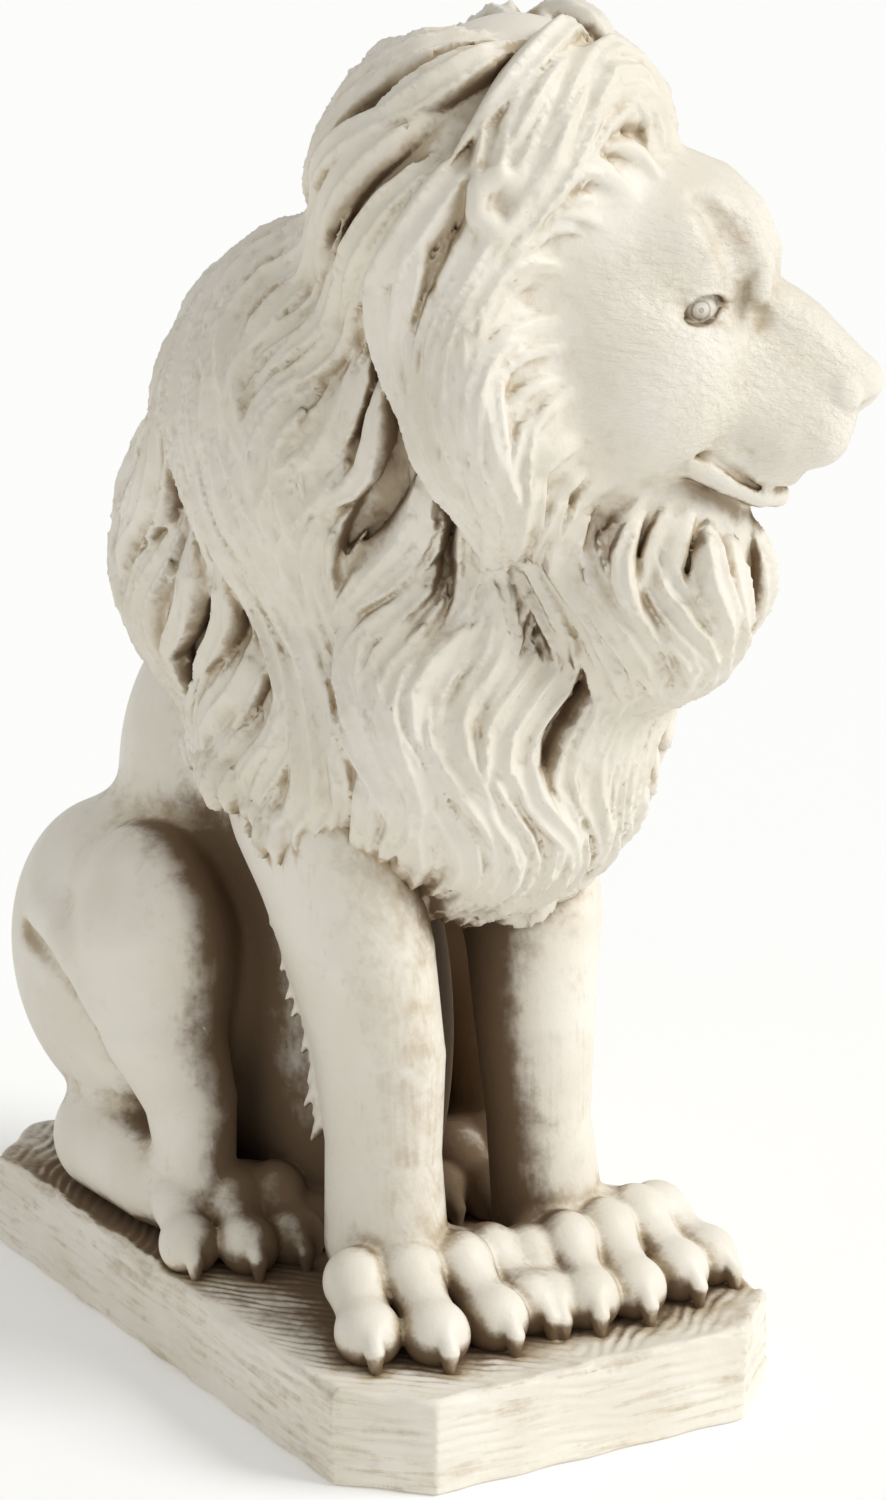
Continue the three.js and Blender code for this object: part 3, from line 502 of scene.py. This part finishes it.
def carve_tail(clay):
    line = [(6, 205, 44), (34, 213, 20), (78, 207, 11), (112, 180, 9), (121, 140, 9), (119, 100, 9)]
    clay.add(limb(BODY, line, (16, 13, 11, 11, 10, 10)), 8)
    clay.add(limb(BODY, [(119, 104, 9), (116, 80, 11), (112, 56, 5)], (11, 15, 5)), 6)


MANE_MASS = [
    blob(HEAD, (-39, 2, 50), (72, 80, 92)),
    blob(HEAD, (0, 0, 50), (39, 46, 42)),
    blob(HEAD, (-74, 4, 38), (57, 78, 69)),
    blob(HEAD, (-30, 0, -50), (70, 92, 80)),
    blob(BODY, (-9, -22, 450), (104, 105, 115)),
    blob(BODY, (-7, 32, 378), (104, 99, 96)),
    blob(BODY, (46, -36, 388), (66, 86, 112)),
    blob(BODY, (18, -96, 318), (92, 68, 102)),
    blob(HEAD, (38, 0, -135), (51, 54, 68)),
]
MANE_BLEND = 40.0


# What the hair also grows over: skull, cheeks, shoulders and back.
COAT_UNDER = [
    blob(HEAD, (-6, 0, 4), (76, 62, 80)),
    blob(HEAD, (20, 38, -42), (54, 29, 46)),
    blob(HEAD, (20, -38, -42), (54, 29, 46)),
    blob(HEAD, (47, 0, 27), (37, 46, 38)),
    blob(BODY, (60, -38, 300), (40, 62, 90)),
    blob(BODY, (-60, -38, 300), (40, 62, 90)),
    blob(BODY, (0, 10, 320), (84, 90, 115)),
]
HEAD_FORMS = 4
COAT_BLEND = 14.0


def face_ring(p):
    """Places in the head's frame, and how far out they lie: 1 is the border of the face."""
    q = HEAD.into(p)
    return q, np.hypot(q[:, 1] / FACE_HALF_WIDTH, (q[:, 2] + FACE_DROP) / FACE_HALF_HEIGHT)


def near_face(p):
    """1 beside the face, fading to 0 further back and out."""
    q, ring = face_ring(p)
    return ease(-80, 12, q[:, 0]) * (1 - ease(1.0, 1.6, ring))


def mane_distance(p):
    """The mane's mass, which sinks to the cheek beside the face."""
    d = MANE_MASS[0][2](p)
    for shape in MANE_MASS[1:]:
        d = blend(d, shape[2](p), MANE_BLEND)
    q, ring = face_ring(p)
    return d + 11 * ease(-50, 12, q[:, 0]) * (1 - ease(0.75, 1.25, ring)) * ease(-95, -70, q[:, 2])


def over_head(p):
    """The mane's mass run together with skull and cheeks."""
    d = mane_distance(p)
    for shape in COAT_UNDER[:HEAD_FORMS]:
        d = blend(d, shape[2](p), COAT_BLEND)
    return d


def coat_distance(p):
    d = over_head(p)
    for shape in COAT_UNDER[HEAD_FORMS:]:
        d = blend(d, shape[2](p), COAT_BLEND)
    return d


def coat_normal(p):
    e = 1.5
    return unit(
        np.stack(
            [coat_distance(p + step) - coat_distance(p - step) for step in np.eye(3, dtype=f32) * e],
            -1,
        )
    )


def onto_coat(p, rounds=4):
    for _ in range(rounds):
        p = p - coat_normal(p) * coat_distance(p)[:, None]
    return p


FACE_CENTRE = HEAD.out((60, 0, -20))
WAVE_LENGTH = 115.0


def hair_flow(p, n):
    away = p - FACE_CENTRE
    far = norm(away)
    fall = ease(60, 240, far)[:, None]
    wish = away / far[:, None] * mix(1, 0.3, fall) - vec(0, 0, 1) * mix(0.35, 1.1, fall)
    wish = wish - n * np.einsum("ij,ij->i", wish, n)[:, None]
    return unit(wish)


def dice(seed):
    state = seed
    while True:
        state = (state * 1664525 + 1013904223) % 4294967296
        yield state / 4294967296


def beyond_face(p):
    q, ring = face_ring(p)
    return (q[:, 0] < 20) | (ring > 1)


def beside_face(p):
    q, ring = face_ring(p)
    front = (q[:, 0] > -12) & (q[:, 0] < 62)
    return front & (ring > mix(0.62, 0.92, ease(20, 60, q[:, 0]))) & (ring < 1.12) & (q[:, 2] < 70)


def hem(p):
    """Height at which the mane ends, from the shoulders down to the chest."""
    return mix(HEM_AT_CHEST, HEM_AT_SHOULDER, ease(-150, -30, p[:, 1]))


def lock_roots(seed, tries, spacing, stretch, allowed):
    """Places on the coat that stay apart, further along the hair's flow than across it."""
    roll = dice(seed)
    throws = np.array([[next(roll) for _ in range(3)] for _ in range(tries)], f32)
    p = onto_coat(vec(-130, -240, 200) + throws * vec(280, 390, 500))
    good = (np.abs(coat_distance(p)) < 2) & allowed(p) & (p[:, 2] > hem(p) + 40)
    p = p[good]
    flow = hair_flow(p, coat_normal(p))
    kept = np.zeros((0, 3), f32)
    for point, way in zip(p, flow):
        rel = kept - point
        along = rel @ way
        apart = np.einsum("ij,ij->i", rel, rel) + along * along * (1 / stretch**2 - 1)
        if (apart > spacing**2).all():
            kept = np.vstack([kept, point])
    return kept


def comb_locks(roots, reach, steps, wave, phase, lift):
    """Lines of points on the mane that wave to both sides of the hair's flow, all at once."""
    p = roots
    lines = []
    normals = []
    for i in range(steps + 1):
        n = coat_normal(p)
        lines.append(p + n * np.interp(i / steps, (0, 0.35, 1), lift))
        normals.append(n)
        flow = hair_flow(p, n)
        side = np.cross(n, flow)
        far = norm(p - FACE_CENTRE)
        turn = wave * np.sin(2 * math.pi * far / WAVE_LENGTH + phase)
        way = flow * np.cos(turn)[:, None] + side * np.sin(turn)[:, None]
        step = np.where(p[:, 2] > hem(p), reach / steps, 0.5)
        p = p + way * step[:, None]
        p = onto_coat(p, 1)
    return np.stack(lines, 1), np.stack(normals, 1)


def make_locks(
    seed, spacing, stretch, reach, radius, steps, lift, wave, flat, strands, allowed=beyond_face
):
    """One size of lock: lift is its height over the coat at root, third and tip, and strands is how
    many it is divided into."""
    roots = lock_roots(seed, LOCK_THROWS, spacing, stretch, allowed)
    roll = dice(seed + 4)
    luck = np.array([[next(roll) for _ in range(5)] for _ in roots], f32)
    lines, normals = comb_locks(
        roots,
        reach * mix(0.8, 1.2, luck[:, 0]),
        steps,
        mix(wave[0], wave[1], luck[:, 1]),
        mix(-0.5, 0.5, luck[:, 2]),
        lift,
    )
    t = np.arange(steps + 1) / steps
    girth = mix(0.3, 1, ease(0, 0.35, t)) * mix(1, 0.06, ease(0.5, 1, t))
    locks = []
    for line, normal, size, shift in zip(lines, normals, luck[:, 3], luck[:, 4]):
        small = mix(1, 0.5, near_face(line)) if radius > FINE_LOCK else 1.0
        if radius > FINE_LOCK:
            line = line - normal * (4 * near_face(line))[:, None]
        radii = girth * small * radius * mix(0.8, 1.2, size)
        locks.append(Ribbon(line, normal, radii, flat, strands, shift))
    return locks


BIG_LOCKS = make_locks(7, 21, 3, 190, 17, 12, (-14, -2, 3), (0.4, 0.75), 1.4, 3)
SMALL_LOCKS = make_locks(23, 21, 2.4, 130, 9, 10, (-8, 3, 7), (0.4, 0.8), 1.0, 2)
MIDDLE_LOCKS = make_locks(61, 25, 2.6, 150, 13, 10, (-10, 0, 5), (0.4, 0.8), 1.2, 2)
CHEEK_LOCKS = make_locks(41, 8, 3, 80, 5, 8, (-6, -2.2, 0), (0.3, 0.6), 1.2, 1, beside_face)


def carve_mane(clay):
    low = np.min([shape[0] for shape in MANE_MASS], 0)
    high = np.max([shape[1] for shape in MANE_MASS], 0)
    low, high = np.minimum(low, COAT_UNDER[0][0]), np.maximum(high, COAT_UNDER[0][1])
    clay.add((low, high, lambda p: over_head(p) + mix(5, 1, near_face(p))), 10)
    for lock in BIG_LOCKS:
        clay.add(lock.shape(), 2)
    for lock in MIDDLE_LOCKS + SMALL_LOCKS:
        clay.add(lock.shape(), 1.5)


def carve_cheek_hair(clay):
    """Fine strokes that start flush on the cheek and grow into the mane."""
    for lock in CHEEK_LOCKS:
        clay.add(lock.shape(), 2)


RIGHT_PAW = (
    (-50, -106, 34),
    [(-84, -132, 29), (-58, -144, 32), (-29, -146, 32), (-6, -138, 29)],
    [(-95, -162, 15), (-65, -180, 15), (-29, -178, 15), (-3, -168, 15)],
    18,
)
LEFT_PAW = (
    (50, -102, 34),
    [(14, -142, 26), (35, -148, 31), (61, -145, 32), (86, -138, 33), (104, -131, 29)],
    [(9, -171, 13), (28, -179, 15), (56, -180, 15), (88, -171, 15), (113, -160, 14)],
    17.5,
)


def hind_paw(side):
    def place(points):
        return [(side * x, y, z) for x, y, z in points]

    return (
        (side * 96, 36, 30),
        place([(108, 18, 27), (83, 7, 29), (57, 4, 28), (38, 14, 24)]),
        place([(116, -5, 14), (90, -24, 15), (62, -24, 14), (38, -8, 13)]),
        16.8,
    )


body = Clay((-150, -225, -PAW_SINK - 2 * CELL), (150, 245, 445))
carve_trunk(body)
for side in (-1, 1):
    carve_hind_leg(body, side)
    carve_paw(body, *hind_paw(side))
    carve_foreleg(body, side)
    carve_fringe(body, side)
carve_paw(body, *RIGHT_PAW)
carve_paw(body, *LEFT_PAW)
carve_tail(body)
mane = Clay((-150, -290, 190), (215, 160, 728))
carve_mane(mane)
carve_head(mane)
carve_cheek_hair(mane)
carve_ears(mane)
plinth = Clay((-140, -238, -PLINTH_HEIGHT - 2 * CELL), (140, 238, 8))
carve_plinth(plinth)


def skin_of(clay):
    """The surface where the clay's distance is zero, as points in millimetres and triangles."""
    far = 3 * CELL
    grid = openvdb.FloatGrid(far)
    grid.copyFromArray(np.clip(clay.dense, -far, far), tolerance=1e-6)
    points, quads = grid.convertToQuads(isovalue=0.0)
    tris = np.concatenate([quads[:, [0, 1, 2]], quads[:, [0, 2, 3]]]).astype(np.int64)
    points = points.astype(f32) * CELL + clay.low
    if (areas(points, tris) * points[tris[:, 0]]).sum() < 0:
        tris = tris[:, ::-1]
    return points, tris


def areas(points, tris):
    a, b, c = (points[tris[:, i]] for i in range(3))
    return np.cross(b - a, c - a)


def make_object(name, points, tris):
    mesh = bpy.data.meshes.new(name)
    mesh.vertices.add(len(points))
    mesh.vertices.foreach_set("co", np.ascontiguousarray(points, f32).ravel())
    mesh.loops.add(3 * len(tris))
    mesh.loops.foreach_set("vertex_index", np.ascontiguousarray(tris, np.int32).ravel())
    mesh.polygons.add(len(tris))
    mesh.polygons.foreach_set("loop_start", np.arange(0, 3 * len(tris), 3, dtype=np.int32))
    mesh.polygons.foreach_set("use_smooth", np.ones(len(tris), bool))
    mesh.update(calc_edges=True)
    obj = bpy.data.objects.new(name, mesh)
    bpy.context.collection.objects.link(obj)
    return obj


def metres(points):
    return (points + vec(0, 0, PLINTH_HEIGHT)) / 1000


def thin(obj, most):
    """Merges edges where the surface is flattest until few enough triangles are left.

    The few triangles that fold flat onto each other on the way are dropped.
    """
    count = len(obj.data.polygons)
    if count <= most:
        return
    thinner = obj.modifiers.new("thin", "DECIMATE")
    thinner.ratio = most / count
    graph = bpy.context.evaluated_depsgraph_get()
    mesh = bpy.data.meshes.new_from_object(obj.evaluated_get(graph))
    mesh.validate()
    obj.modifiers.clear()
    obj.data = mesh


def cast(name, clay):
    """Makes a piece from its clay, thinned to no more than MOST_TRIANGLES triangles."""
    points, tris = skin_of(clay.shape())
    obj = make_object(name, metres(points), tris)
    thin(obj, MOST_TRIANGLES)
    print(name, "triangles", len(tris), "kept", len(obj.data.polygons))
    return obj


def gap(p):
    """Distance from points to the nearest of the three clays."""
    return np.minimum(np.minimum(mane.sample(p), body.sample(p)), plinth.sample(p))


class Coarse:
    """The gap on a coarse grid, for looking far."""

    def __init__(self, step):
        self.step = step
        self.low = vec(-170, -300, -60)
        size = [int(n / step) for n in (410, 570, 830)]
        self.top = np.array(size) - 1
        places = np.stack(np.meshgrid(*[np.arange(n) for n in size], indexing="ij"), -1)
        field = gap(self.low + places.reshape(-1, 3).astype(f32) * step)
        self.field = field.reshape(size)

    def sample(self, p):
        at = np.rint((p - self.low) / self.step).astype(np.int64)
        outside = ((at < 0) | (at > self.top)).any(1)
        at = np.clip(at, 0, self.top)
        return np.where(outside, NEAR, self.field[at[:, 0], at[:, 1], at[:, 2]])


def rays(count):
    """Directions spread evenly over a sphere."""
    turn = math.pi * (3 - math.sqrt(5))
    for i in range(count):
        z = 1 - (2 * i + 1) / count
        r = math.sqrt(1 - z * z)
        yield vec(r * math.cos(turn * i), r * math.sin(turn * i), z)


def hollowness(p, n):
    """How far each place lies in a narrow hollow, from 0 to about 1."""
    total = np.zeros(len(p), f32)
    for reach, share in ((3.5, 0.3), (7, 0.35), (14, 0.35)):
        total += share * np.clip(1 - gap(p + n * reach) / reach, 0, 1.5)
    return total


def shut_in(p, n, coarse):
    """The share of the sky that large forms hide from each place, which darkens the colour as painted
    shade.
    """
    hidden = np.zeros(len(p), f32)
    total = np.zeros(len(p), f32)
    for way in rays(SKY_RAYS):
        facing = n @ way
        ids = np.nonzero(facing > 0.1)[0]
        start = p[ids] + n[ids] * 5
        shade = np.zeros(len(ids), f32)
        for far in SKY_REACHES:
            d = coarse.sample(start + way * far)
            shade = np.maximum(shade, np.clip(1 - d / min(far * 0.3, 14), 0, 1))
        hidden[ids] += shade * facing[ids]
        total[ids] += facing[ids]
    return hidden / np.maximum(total, 1e-3)


def along_line(p, points):
    """Distance to a line of points, seen from the side."""
    p = p * (0, 1, 1)
    best = np.full(len(p), 1e3, f32)
    pts = np.array(points, f32) * (0, 1, 1)
    for a, b in zip(pts[:-1], pts[1:]):
        d = b - a
        t = np.clip((p - a) @ d / float(d @ d), 0, 1)
        best = np.minimum(best, norm(p - a - t[:, None] * d))
    return best


def set_share(obj, name, values):
    made = obj.data.attributes.new(name, "FLOAT", "POINT")
    made.data.foreach_set("value", np.ascontiguousarray(values, f32))


CRACKS = [
    [(-101, 27, 243), (-97, 10, 226), (-84, -4, 205), (-80, -6, 186)],
    [(-84, -6, 216), (-82, -6, 188), (-80, -4, 160), (-77, -5, 142)],
]


def mark_finish(obj, coarse):
    """Stores what the finish depends on: hollows, painted shade in recesses, the short fur and cracks."""
    count = len(obj.data.vertices)
    p = np.empty(count * 3, f32)
    n = np.empty(count * 3, f32)
    obj.data.vertices.foreach_get("co", p)
    obj.data.vertices.foreach_get("normal", n)
    p = p.reshape(-1, 3) * 1000 - vec(0, 0, PLINTH_HEIGHT)
    n = n.reshape(-1, 3)
    # Painted shade: how much of the sky large forms hide, which darkens recesses in the colour.
    set_share(obj, "recess", shut_in(p, n, coarse))
    q = HEAD.into(p)
    face = ease(-4, 22, q[:, 0]) * (1 - ease(0.85, 1.1, np.hypot(q[:, 1] / 88, (q[:, 2] + 20) / 80)))
    leather = 1 - ease(4, 12, norm((q - vec(140, 0, -47)) / vec(1, 1.4, 1)) - 4)
    eyes = np.zeros(count, f32)
    for side in (-1, 1):
        eyes = np.maximum(eyes, 1 - ease(13, 17, norm(p - eye_axes(side).origin)))
    set_share(obj, "fur", face * (1 - leather) * (1 - eyes))
    set_share(obj, "hollow", hollowness(p, n) * (1 - 0.6 * eyes))
    crack = np.full(count, 20, f32)
    for line in CRACKS:
        crack = np.where(p[:, 0] < -45, np.minimum(crack, along_line(p, line)), crack)
    set_share(obj, "crack", crack)


pieces = [
    cast("lion_mane_and_face", mane),
    cast("lion_body_and_paws", body),
    cast("cut_corner_plinth", plinth),
]
surroundings = Coarse(COARSE_STEP)
for piece in pieces:
    mark_finish(piece, surroundings)


def linear(code):
    parts = [int(code[i : i + 2], 16) / 255 for i in (1, 3, 5)]
    return [c / 12.92 if c <= 0.04045 else ((c + 0.055) / 1.055) ** 2.4 for c in parts] + [1.0]


def make_material(name):
    material = bpy.data.materials.new(name)
    material.use_nodes = True
    tree = material.node_tree
    tree.nodes.clear()
    return material, tree


def node(tree, kind, settings=None, out=0, **inputs):
    """Adds a node and gives one of its outputs. settings are its own properties, and inputs are
    values or sockets by name, or by place as i0, i1 and so on."""
    made = tree.nodes.new(kind)
    for key, value in (settings or {}).items():
        setattr(made, key, value)
    for key, value in inputs.items():
        by_place = key[0] == "i" and key[1:].isdigit()
        socket = made.inputs[int(key[1:]) if by_place else key.replace("_", " ")]
        if isinstance(value, bpy.types.NodeSocket):
            tree.links.new(value, socket)
        else:
            socket.default_value = value
    return made.outputs[out] if len(made.outputs) else made


def per_mm(size):
    """The scale that makes a pattern repeat about every size millimetres."""
    return 1000.0 / size


MULTIPLY = {"operation": "MULTIPLY"}
ADD = {"operation": "ADD"}
SUBTRACT = {"operation": "SUBTRACT"}
MORE_OF = {"operation": "MAXIMUM"}
SCALE_AND_ADD = {"operation": "MULTIPLY_ADD"}
SMOOTH = {"interpolation_type": "SMOOTHSTEP"}
COLOURS = {"data_type": "RGBA"}


def ivory_resin(name, streaks):
    """Cream resin and stone powder, cast in a mould: satin and a little mottled. A thin brown wash was
    wiped over it, so it stays in hollows, cracks and tool marks, and the high places are pale. Shade in
    large recesses, such as under the belly and between the legs, is painted into the colour as well."""
    material, tree = make_material(name)
    add = functools.partial(node, tree)
    place = add("ShaderNodeTexCoord", out="Object")
    cloud = add("ShaderNodeTexNoise", i2=per_mm(60), i3=3.0, i4=0.55, Vector=place)
    blot = add("ShaderNodeTexNoise", i2=per_mm(14), i3=5.0, i4=0.65, Vector=place)
    speck = add("ShaderNodeTexNoise", i2=per_mm(3.2), i3=4.0, i4=0.7, Vector=place)
    hollow, recess, crack, fur = (
        add("ShaderNodeAttribute", {"attribute_name": mark}, "Fac")
        for mark in ("hollow", "recess", "crack", "fur")
    )

    # How much wash stays: in narrow hollows and in blots, plus a little painted shade in large recesses.
    stain = add("ShaderNodeMapRange", SMOOTH, i0=blot, i1=0.3, i2=0.75, i3=-0.12, i4=0.16)
    wash = add("ShaderNodeMath", SCALE_AND_ADD, i0=hollow, i1=1.1, i2=stain)
    # Painted shade: the share of sky hidden by large forms adds to the wash.
    wash = add("ShaderNodeMath", SCALE_AND_ADD, i0=recess, i1=0.35, i2=wash)
    if streaks:
        level = add("ShaderNodeMapping", Vector=place, Scale=(0.09, 0.09, 1))
        rubbed = add("ShaderNodeTexNoise", i2=per_mm(4.5), i3=4.0, i4=0.6, Vector=level)
        rubbed = add("ShaderNodeMapRange", SMOOTH, i0=rubbed, i1=0.42, i2=0.66, i3=0.0, i4=streaks)
        wash = add("ShaderNodeMath", ADD, i0=wash, i1=rubbed)
    tone = add("ShaderNodeMapRange", SMOOTH, i0=cloud, i1=0.35, i2=0.65)
    colour = add("ShaderNodeMix", COLOURS, 2, i0=tone, i6=linear(PALE_IVORY), i7=linear(WARM_IVORY))
    share = add("ShaderNodeMapRange", SMOOTH, i0=wash, i1=0.1, i2=0.75)
    colour = add("ShaderNodeMix", COLOURS, 2, i0=share, i6=colour, i7=linear(THIN_WASH))
    share = add("ShaderNodeMapRange", SMOOTH, i0=wash, i1=0.8, i2=1.5)
    colour = add("ShaderNodeMix", COLOURS, 2, i0=share, i6=colour, i7=linear(THICK_WASH))
    # Painted shade: large recesses are darkened towards a brown shade colour, broken up by the blots.
    painted_shade_share = add("ShaderNodeMath", SCALE_AND_ADD, i0=stain, i1=0.5, i2=recess)
    painted_shade_share = add("ShaderNodeMapRange", SMOOTH, i0=painted_shade_share, i1=0.24, i2=0.66)
    colour = add("ShaderNodeMix", COLOURS, 2, i0=painted_shade_share, i6=colour, i7=linear(PAINTED_SHADE_AND_WASH))

    # Pits, where air was caught in the mould, and hairline cracks.
    pits = add("ShaderNodeMapRange", SMOOTH, i0=speck, i1=0.70, i2=0.76, i3=0.0, i4=0.5)
    ragged = add("ShaderNodeMath", SCALE_AND_ADD, i0=blot, i1=3.0, i2=crack)
    split = add("ShaderNodeMapRange", SMOOTH, i0=ragged, i1=1.75, i2=2.3, i3=1.0, i4=0.0)
    for side in (-1, 1):
        iris = metres(eye_axes(side).out((-1, 12.2, 0)))
        reach = add("ShaderNodeVectorMath", {"operation": "DISTANCE"}, 1, i0=place, i1=tuple(iris.tolist()))
        for radius in (IRIS_RADIUS, PUPIL_RADIUS):
            off = add("ShaderNodeMath", SUBTRACT, i0=reach, i1=radius / 1000)
            off = add("ShaderNodeMath", {"operation": "ABSOLUTE"}, i0=off)
            ring = add("ShaderNodeMapRange", SMOOTH, i0=off, i1=0.0002, i2=0.001, i3=0.45, i4=0.0)
            split = add("ShaderNodeMath", MORE_OF, i0=split, i1=ring)
    dark = add("ShaderNodeMath", MULTIPLY, i0=split, i1=0.8)
    dark = add("ShaderNodeMath", MORE_OF, i0=pits, i1=dark)
    colour = add("ShaderNodeMix", COLOURS, 2, i0=dark, i6=colour, i7=linear(CRACK_BROWN))

    # Short fur: strokes that run along the head, drawn a little coarser than real.
    ahead = add(
        "ShaderNodeVectorRotate",
        {"rotation_type": "Z_AXIS"},
        Vector=place,
        Angle=math.pi / 2 - HEAD_TURN,
    )
    strokes = add("ShaderNodeMapping", Vector=ahead, Scale=(0.16, 1, 1))
    hairs = add("ShaderNodeTexNoise", i2=per_mm(3.6), i3=3.0, i4=0.6, Vector=strokes)
    relief = add("ShaderNodeMath", MULTIPLY, i0=hairs, i1=fur)
    relief = add("ShaderNodeMath", MULTIPLY, i0=relief, i1=2.4)
    relief = add("ShaderNodeMath", SCALE_AND_ADD, i0=blot, i1=0.5, i2=relief)
    relief = add("ShaderNodeMath", SCALE_AND_ADD, i0=speck, i1=0.32, i2=relief)
    cut = add("ShaderNodeMath", MULTIPLY, i0=split, i1=0.9)
    relief = add("ShaderNodeMath", SUBTRACT, i0=relief, i1=cut)
    bump = add("ShaderNodeBump", Height=relief, Strength=0.8, Distance=0.0009)
    dull = add("ShaderNodeMath", MORE_OF, i0=wash, i1=painted_shade_share)
    gloss = add("ShaderNodeMapRange", SMOOTH, i0=dull, i1=0.0, i2=0.9, i3=0.42, i4=0.9)
    surface = add(
        "ShaderNodeBsdfPrincipled",
        Base_Color=colour,
        Roughness=gloss,
        Specular_IOR_Level=0.35,
        Normal=bump,
    )
    add("ShaderNodeOutputMaterial", Surface=surface)
    return material


resin = ivory_resin("ivory_resin_with_brown_wash_and_painted_shade", 0)
tooled_resin = ivory_resin("ivory_resin_with_washed_tool_marks_and_painted_shade", 0.34)
for piece in pieces:
    piece.data.materials.clear()
    piece.data.materials.append(tooled_resin if piece.name == "cut_corner_plinth" else resin)
    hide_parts("lion_on_plinth")
    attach(piece, "root")

floor_mesh = bpy.data.meshes.new("studio_floor")
floor_mesh.from_pydata([(-6, -6, 0), (6, -6, 0), (6, 6, 0), (-6, 6, 0)], [], [(0, 1, 2, 3)])
floor = bpy.data.objects.new("studio_floor", floor_mesh)
bpy.context.collection.objects.link(floor)
paper, paper_tree = make_material("white_paper")
paper_shader = node(
    paper_tree,
    "ShaderNodeBsdfPrincipled",
    Base_Color=linear("#f6f6f4"),
    Roughness=0.9,
    Emission_Color=linear("#ffffff"),
    Emission_Strength=0.14,
)
node(paper_tree, "ShaderNodeOutputMaterial", Surface=paper_shader)
floor_mesh.materials.append(paper)

camera_data = bpy.data.cameras.new("camera")
camera_data.sensor_width = 36
camera_data.sensor_fit = "AUTO"
camera_data.lens = 134.755
camera = bpy.data.objects.new("camera", camera_data)
bpy.context.collection.objects.link(camera)
camera.location = (-1.43044, -2.49645, 1.21113)
look = Vector((0.03952, -0.01107, 0.32033)) - camera.location
camera.rotation_euler = look.to_track_quat("-Z", "Y").to_euler()
camera_data.clip_end = 50
bpy.context.scene.camera = camera

world = bpy.data.worlds.new("studio")
bpy.context.scene.world = world
world.use_nodes = True
world.node_tree.nodes["Background"].inputs["Color"].default_value = linear("#ffffff")
world.node_tree.nodes["Background"].inputs["Strength"].default_value = 0.55


def soft_sun(name, towards, strength, angle):
    data = bpy.data.lights.new(name, "SUN")
    data.energy = strength
    data.angle = math.radians(angle)
    lamp = bpy.data.objects.new(name, data)
    bpy.context.collection.objects.link(lamp)
    lamp.rotation_euler = Vector(towards).to_track_quat("Z", "Y").to_euler()


soft_sun("key", (1.0, -0.95, 1.0), 1.95, 30)
bpy.context.scene.view_settings.view_transform = "Standard"

bpy.context.view_layer.update()
